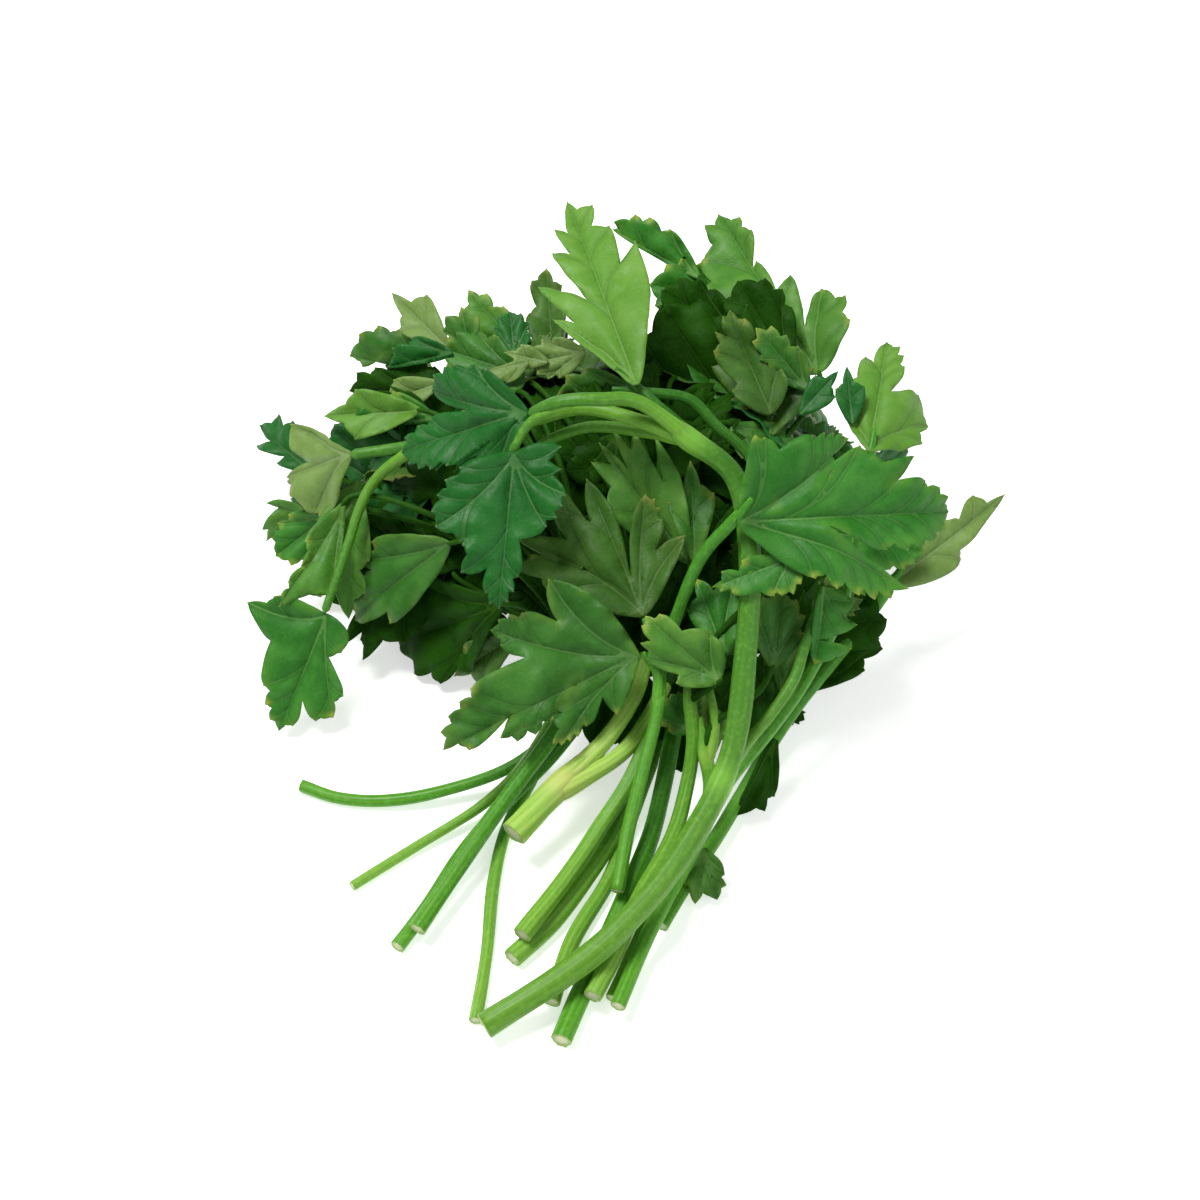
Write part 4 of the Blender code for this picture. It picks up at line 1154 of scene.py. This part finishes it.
# Leaf colours: blade and second are mixed in patches, tooth tints the points of the teeth, margin
# tints a band along the edge, under is the back of the leaf.
leafLooks = {
    "fresh": dict(
        blade=(0.022, 0.19, 0.012), second=(0.06, 0.28, 0.03), vein=(0.15, 0.36, 0.08),
        tooth=(0.4, 0.52, 0.06), margin=(0.12, 0.33, 0.03), under=(0.12, 0.28, 0.06), veins=0.65,
        rim=0.55),
    "dark": dict(
        blade=(0.006, 0.125, 0.01), second=(0.016, 0.17, 0.02), vein=(0.1, 0.27, 0.07),
        tooth=(0.3, 0.45, 0.18), margin=(0.014, 0.15, 0.015), under=(0.06, 0.18, 0.03), veins=0.6,
        rim=0.15),
    "leafy": dict(
        blade=(0.03, 0.16, 0.012), second=(0.065, 0.24, 0.03), vein=(0.13, 0.29, 0.07),
        tooth=(0.34, 0.42, 0.06), margin=(0.13, 0.28, 0.03), under=(0.1, 0.22, 0.05), veins=0.5,
        rim=0.6),
    "olive": dict(
        blade=(0.036, 0.13, 0.009), second=(0.075, 0.2, 0.024), vein=(0.12, 0.24, 0.05),
        tooth=(0.28, 0.32, 0.05), margin=(0.09, 0.16, 0.018), under=(0.08, 0.15, 0.03), veins=0.45,
        rim=0.45),
    # painted shade: a near-black look for leaves deep in the bunch and in its gaps, standing in for the
    # shade there
    "deep": dict(
        blade=(0.007, 0.045, 0.001), second=(0.02, 0.095, 0.004), vein=(0.05, 0.15, 0.012),
        tooth=(0.07, 0.15, 0.01), margin=(0.02, 0.09, 0.003), under=(0.02, 0.075, 0.005), veins=0.5,
        rim=0.3, shine=0.06),
    "mid": dict(
        blade=(0.06, 0.235, 0.02), second=(0.12, 0.32, 0.045), vein=(0.2, 0.4, 0.1),
        tooth=(0.36, 0.5, 0.08), margin=(0.17, 0.36, 0.04), under=(0.15, 0.32, 0.08), veins=0.4,
        rim=0.5),
    "light": dict(
        blade=(0.12, 0.33, 0.03), second=(0.18, 0.4, 0.06), vein=(0.26, 0.45, 0.13),
        tooth=(0.3, 0.48, 0.1), margin=(0.2, 0.4, 0.06), under=(0.2, 0.38, 0.1), veins=0.4, rim=0.3),
    "pale": dict(
        blade=(0.17, 0.3, 0.06), second=(0.23, 0.37, 0.1), vein=(0.34, 0.47, 0.2),
        tooth=(0.4, 0.5, 0.16), margin=(0.25, 0.38, 0.09), under=(0.24, 0.37, 0.12), veins=0.5, rim=0.3),
}


# What all leaf finishes have in common: the sizes of the patterns and how strongly each one shows.
leafPattern = {
    "patches": dict(scale=7, detail=4, roughness=0.55, distortion=0.4),
    "blotch": dict(scale=22, detail=3, roughness=0.6),
    "grain": dict(scale=160, detail=3, roughness=0.6),
    "marginPatches": dict(scale=9, detail=2),
    "yellowPatches": dict(scale=6, detail=2),
    "relief": dict(scale=60, detail=3),
    "netScale": 42,
    "blotches": 0.35,
    "grains": 0.25,
    "nets": 0.16,
    "foldShade": 0.4,  # painted shade, darker down in the folds
    "heart": 0.35,  # painted shade, darker near the stalk
    "veins": 0.45,
    "yellow": 0.6,
    "teeth": 0.7,
    "under": 1.25,  # how much brighter the patches and veins of the back are
    "underVeins": 1.2,
    "marginWidth": 2.6,  # mm
    "glow": (0.3, 0.5, 0.03),  # colour of the light that comes through a blade
    "glowTint": 0.35,
    "glowShare": 0.22,
    "shine": 0.3,
    "underShine": 0.5,
    "roughness": (0.42, 0.58),
    "underRoughness": (0.55, 0.68),
}


def scaled(colour, share):
    return tuple(value * share for value in colour)


def leafColour(kit, look, isUnder, plan, blotch, grain, net):
    # patches and blotches first, then veins, painted shade in the folds and near the stalk, the margin and
    # the yellowing teeth
    rib, vein, edge = kit.layer("rib"), kit.layer("vein"), kit.layer("edge")
    tooth, along = kit.layer("tooth"), kit.layer("along")
    pattern = leafPattern
    blade = look["under"] if isUnder else look["blade"]
    second = scaled(look["under"], pattern["under"]) if isUnder else look["second"]
    veinTint = scaled(look["vein"], pattern["underVeins"]) if isUnder else look["vein"]
    body = kit.mix(kit.span(kit.noise(plan, **pattern["patches"]), 0.34, 0.66), blade, second)
    body = kit.tint(body, kit.span(blotch, 0.5, 0.72), pattern["blotches"], second)
    body = kit.tint(body, kit.span(grain, 0.42, 0.7), pattern["grains"], scaled(blade, 0.72))
    body = kit.tint(body, net, pattern["nets"], veinTint)
    # painted shade: darker near the ribs and veins, down in the folds
    foldShadeMask = kit.span(kit.math("MINIMUM", rib, vein), 1.0, 0.15)
    body = kit.tint(body, foldShadeMask, pattern["foldShade"], scaled(blade, 0.6))
    # painted shade: darker towards the stalk
    body = kit.tint(body, kit.span(along, 0.55, 0.05), pattern["heart"], scaled(blade, 0.7))
    patchy = kit.span(kit.noise(plan, **pattern["marginPatches"]), 0.42, 0.64)
    margin = kit.math("MULTIPLY", kit.span(edge, 0.0, pattern["marginWidth"], 1, 0), patchy)
    body = kit.tint(body, margin, look["rim"], look["margin"])
    body = kit.tint(body, kit.span(vein, 0.2, 0.04), look["veins"] * pattern["veins"], veinTint)
    fade = kit.math("MULTIPLY", kit.span(along, 0.95, 0.2, 0.35, 1.0), look["veins"])
    thinning = kit.math("ADD", rib, kit.math("MULTIPLY", along, 0.22))
    body = kit.tint(body, kit.span(thinning, 0.42, 0.12), fade, veinTint)
    if look["rim"] > 0.4:  # yellowing teeth, here and there
        patchy = kit.span(kit.noise(plan, **pattern["yellowPatches"]), 0.46, 0.6)
        yellowed = kit.math("MULTIPLY", kit.span(tooth, 2.0, 0.3), patchy)
        body = kit.tint(body, yellowed, pattern["yellow"], look["tooth"])
    return kit.tint(body, kit.span(tooth, 0.5, 0.2), pattern["teeth"], look["tooth"])


def leafRelief(kit, isUnder, plan, grain, net):
    # veins are grooves on the face and stand out on the back
    rib, vein = kit.layer("rib"), kit.layer("vein")
    groove = kit.math("ADD", kit.span(rib, 0.5, 0.0), kit.math("MULTIPLY", kit.span(vein, 0.35, 0.0), 0.6))
    groove = kit.math("MULTIPLY", groove, 0.7 if isUnder else -0.7)
    bumps = kit.math("MULTIPLY", kit.noise(plan, **leafPattern["relief"]), 0.8)
    fine = kit.math("ADD", kit.math("MULTIPLY", net, -0.5), grain)
    return kit.bump(fine, 0.3, 0.0001, kit.bump(kit.math("ADD", groove, bumps), 0.5, 0.0003))


def leafFinish(name, look, isUnder):
    kit = NodeTree(name)
    pattern = leafPattern
    shift = kit.add("ShaderNodeVectorMath", operation="ADD")  # no two leaves have the same patches
    kit.put(kit.add("ShaderNodeUVMap", uv_map="plan").outputs[0], shift.inputs[0])
    kit.put(kit.math("MULTIPLY", kit.layer("tone"), 7.0), shift.inputs[1])
    plan = shift.outputs[0]
    blotch = kit.noise(plan, **pattern["blotch"])
    grain = kit.noise(plan, **pattern["grain"])
    net = kit.span(kit.cells(plan, pattern["netScale"]), 0.07, 0.0)  # the fine net between the veins
    body = leafColour(kit, look, isUnder, plan, blotch, grain, net)
    normal = leafRelief(kit, isUnder, plan, grain, net)
    rough = pattern["underRoughness" if isUnder else "roughness"]
    shine = look.get("shine", pattern["shine"]) * (pattern["underShine"] if isUnder else 1)
    kit.put(body, kit.shader.inputs["Base Color"])
    kit.put(kit.span(blotch, 0.3, 0.7, *rough), kit.shader.inputs["Roughness"])
    kit.put(shine, kit.shader.inputs["Specular IOR Level"])
    kit.put(normal, kit.shader.inputs["Normal"])
    glow = kit.add("ShaderNodeBsdfTranslucent")
    kit.put(kit.mix(pattern["glowTint"], body, pattern["glow"]), glow.inputs["Color"])
    kit.put(normal, glow.inputs["Normal"])
    through = kit.add("ShaderNodeMixShader")
    kit.put(pattern["glowShare"], through.inputs[0])
    kit.put(kit.shader.outputs[0], through.inputs[1])
    kit.put(glow.outputs[0], through.inputs[2])
    kit.put(through.outputs[0], kit.output.inputs["Surface"])
    return kit.material


leafFinishes = {}
for look, colours in leafLooks.items():
    leafFinishes[look] = leafFinish("leaf_" + look, colours, False)
    leafFinishes[look + "_under"] = leafFinish("leaf_" + look + "_under", colours, True)


# Leaves that a cut stalk already reaches.
heldByStalks = (
    "leaf_big_right", "leaf_top_pointed", "leaf_dark_upper", "leaf_dark_lower", "leaf_pale_left",
    "leaf_hanging_left", "leaf_olive", "leaf_broad_front", "leaf_crest", "leaf_blade", "leaf_folded_right",
)

for leafName, leaf in leafPlaces.items():
    makeLeaf(leafName, leaf, leaf["look"], leafName)
for leafName, leaf in gapLeaves.items():
    makeLeaf(leafName, leaf, leaf["look"])
print("leaves made:", len(leafPlaces) + len(gapLeaves))


# The leaves inside and behind the heap. Each layer lies a number of mm behind the ones in front.
heap = {
    # each layer: mm nearer than the middle, leaves, and its middle, half size and lowest place in the view
    "layers": (
        (-11, 12, (1, 16), (41, 22), -4),
        (-22, 13, (-3, 20), (50, 27), -2),
        (-33, 12, (-3, 21), (50, 29), -2),
        (-5, 6, (22, -4), (9, 12), -18),
        (-16, 6, (-30, 11), (15, 10), -1),
        (-8, 5, (10, 28), (20, 8), 18),
    ),
    "turn": 2.4,  # radians from one leaf of a layer to the next
    "slope": 0.6,  # how fast the lowest place of a layer rises to the right
    "slopeFrom": 15,
    "layerLength": (20, 30),
    # each ring: mm above the table, its reach to the sides and to the back, and leaves
    "rings": ((5, 66, 52, 16), (13, 62, 48, 15), (22, 56, 43, 13), (31, 46, 36, 11)),
    "ringCentre": (-4, 34),
    "ringFrom": -10,  # degrees
    "ringSweep": 210,
    "ringLength": (24, 34),
    "ringStray": 7,
    "lowest": 3.5,  # mm above the table of a leaf's ends
    "grid": 1.3,  # coarser than the leaves on top
}
commonForms = ("maple", "dark_lower", "dark_upper", "olive", "maple", "fan", "big_right", "plume", "crest")


def heapLayer(layer, near, count, middle, halfSize, lowest):
    # leaves in a sunflower spiral over an ellipse, pointing outwards
    rng = random.Random(f"layer{layer}")
    made = []
    for index in range(count):
        share = math.sqrt((index + 0.6) / count)
        bearing = index * heap["turn"] + layer
        right = middle[0] + halfSize[0] * share * math.cos(bearing)
        up = middle[1] + halfSize[1] * share * math.sin(bearing)
        up = max(lowest + heap["slope"] * max(0, right - heap["slopeFrom"]), up)
        back = rng.uniform(*heap["layerLength"]) * 0.5
        outward = bearing + rng.uniform(-0.6, 0.6)
        aside, above = back * math.cos(outward), back * math.sin(outward)
        # every layer leaf has the near-black look: painted shade inside the heap
        made.append(place(
            "deep", rng.choice(commonForms), viewSpot(right - aside, up - above, near + 2),
            viewSpot(right + aside, up + above, near - 4), bow=3, cup=rng.uniform(5, 30),
            roll=rng.uniform(-20, 20), mirrored=rng.random() < 0.5))
    return made


def heapRing(ring, height, reachX, reachY, count):
    # leaves that lean outwards and down round the back and the sides
    rng = random.Random(f"ring{ring}")
    made = []
    for index in range(count):
        turned = heap["ringSweep"] * (index + rng.uniform(0.2, 0.8)) / count
        bearing = math.radians(heap["ringFrom"] + turned)
        out = np.array((math.cos(bearing), math.sin(bearing), 0.0))
        length = rng.uniform(*heap["ringLength"])
        rim = np.array((*heap["ringCentre"], 0.0)) + out * (reachX, reachY, 0)
        sideways = np.array((-out[1], out[0], 0.0)) * rng.uniform(-heap["ringStray"], heap["ringStray"])
        tip = rim + sideways + (0, 0, max(2.0, height - rng.uniform(2, 7)))
        base = rim - out * length * 0.72 + (0, 0, height + length * 0.45)
        made.append(dict(
            form=rng.choice(commonForms), base=base, tip=tip, bow=3, cup=rng.uniform(-10, 20),
            roll=rng.uniform(-25, 25), face=out * 0.6 + (0, 0, 0.8), mirrored=rng.random() < 0.5,
            look=rng.choice(("fresh", "dark", "olive", "leafy"))))
    return made


def fillHeap():
    extra = []
    for index, layer in enumerate(heap["layers"]):
        extra += heapLayer(index, *layer)
    for index, ring in enumerate(heap["rings"]):
        extra += heapRing(index, *ring)
    for index, leaf in enumerate(extra):
        for end in ("base", "tip"):
            leaf[end] = np.array(leaf[end], float)
            leaf[end][2] = max(leaf[end][2], heap["lowest"])
        makeLeaf(f"heap_leaf_{index}", leaf, leaf["look"], grid=heap["grid"])
    return extra


# The thin stalks of the leaves that no cut stalk reaches. Lengths in mm.
leafStalkShape = {
    "radius": 0.85,
    "startShare": 1.2,  # of that radius at the start, and at the end
    "endShare": 0.7,
    "bend": 9,  # length over which one turns into its leaf
    "lowest": 1.2,
    "step": 6,
    "sides": 10,
    "tail": 0.6,
    "fromHeights": (2, 22),  # they leave the cut stalks whose upper ends are at these heights
    "fromFront": -8,
    "straightness": 12,  # extra length that is worth a course without a sharp bend
}


def upperEnds():
    # the upper ends of the cut stalks that go in under the heap, and their headings
    shape = leafStalkShape
    low, high = shape["fromHeights"]
    ends = []
    for name, runs in stalkRuns.items():
        for run in runs if name == "stem_blunt" else runs[:1]:
            last, before = np.array(run[2][-1], float), np.array(run[2][-2], float)
            if last[1] < shape["fromFront"] and low < last[2] < high:
                ends.append((last, unit(last - before)))
    return ends


def leafStalks(places):
    shape = leafStalkShape
    ends = upperEnds()
    shapes = []

    def cost(end, base):
        return np.linalg.norm(end[0] - base) - shape["straightness"] * (end[1] @ unit(base - end[0]))

    for index, leaf in enumerate(places):
        base, tip = np.array(leaf["base"], float), np.array(leaf["tip"], float)
        start, heading = min(ends, key=lambda end: cost(end, base))
        far = np.linalg.norm(base - start)
        beforeLeaf = base - unit(tip - base) * min(0.35 * far, shape["bend"])
        line = bezier(start, start + heading * 0.4 * far, beforeLeaf, base, shape["step"])
        line[:, 2] = np.maximum(line[:, 2], shape["lowest"])
        run = (shape["radius"] * shape["startShare"], shape["radius"] * shape["endShare"], line)
        shapes.append(stalkTube(run, f"petiole{index}", shape["tail"], cutEnd=False, sides=shape["sides"]))
    verts, faces, layers = joinShapes(shapes)
    piece = makePiece("leaf_stalks", verts, faces, layers, [stalkFinishes["shaded"]])


heapLeaves = fillHeap()
unheld = [leaf for name, leaf in leafPlaces.items() if name not in heldByStalks and "low" not in name]
leafStalks(heapLeaves + unheld)
print("heap leaves made:", len(heapLeaves))


# The studio, in metres.
studio = {
    "floor": (0.9, 0.9, 0.9),
    "floorReach": 3.0,
    "floorRoughness": 0.8,
    "floorGlow": 0.56,  # keeps the shadows on the floor faint
    "sky": (1.0, 1.0, 1.0),
    "skyStrength": 0.3,
    "lights": {
        "key": dict(spot=(-0.35, 0.15, 1.0), size=0.45, energy=11.5, colour=(1.0, 0.99, 0.97)),
        "fill": dict(spot=(0.7, -0.5, 0.7), size=0.8, energy=3, colour=(0.97, 0.98, 1.0)),
    },
    "eye": (-0.0055, -0.3825, 0.4808),
    "target": (-0.0055, 0.0, 0.025),
    "lens": 85,
    "film": 36,  # mm, as the lens
    "nearest": 0.01,
}


def makeFloor():
    reach = studio["floorReach"]
    mesh = bpy.data.meshes.new("floor")
    corners = [(-reach, -reach, 0), (reach, -reach, 0), (reach, reach, 0), (-reach, reach, 0)]
    mesh.from_pydata(corners, [], [(0, 1, 2, 3)])
    kit = NodeTree("floor_white")
    kit.shader.inputs["Base Color"].default_value = (*studio["floor"], 1)
    kit.shader.inputs["Roughness"].default_value = studio["floorRoughness"]
    kit.shader.inputs["Emission Color"].default_value = (1, 1, 1, 1)
    kit.shader.inputs["Emission Strength"].default_value = studio["floorGlow"]
    mesh.materials.append(kit.material)
    floor = bpy.data.objects.new("floor", mesh)
    bpy.context.scene.collection.objects.link(floor)


def makeSky():
    world = bpy.data.worlds.new("sky")
    bpy.context.scene.world = world
    world.use_nodes = True
    sky = world.node_tree.nodes["Background"]
    sky.inputs[0].default_value = (*studio["sky"], 1)
    sky.inputs[1].default_value = studio["skyStrength"]


def softLight(name, spot, size, energy, colour):
    lamp = bpy.data.lights.new(name, "AREA")
    lamp.shape = "DISK"
    lamp.size = size
    lamp.energy = energy
    lamp.color = colour
    holder = bpy.data.objects.new(name, lamp)
    holder.location = spot
    holder.rotation_euler = (-Vector(spot)).to_track_quat("-Z", "Y").to_euler()
    bpy.context.scene.collection.objects.link(holder)


def makeCamera():
    scene = bpy.context.scene
    eye = bpy.data.cameras.new("camera")
    eye.lens = studio["lens"]
    eye.sensor_width = studio["film"]
    eye.clip_start = studio["nearest"]
    camera = bpy.data.objects.new("camera", eye)
    camera.location = studio["eye"]
    heading = Vector(studio["target"]) - Vector(studio["eye"])
    camera.rotation_euler = heading.to_track_quat("-Z", "Y").to_euler()
    scene.collection.objects.link(camera)
    scene.camera = camera
    scene.view_settings.view_transform = "Standard"
    scene.view_settings.look = "None"


makeFloor()
makeSky()
for lightName, light in studio["lights"].items():
    softLight(lightName, **light)
makeCamera()
print("studio made")
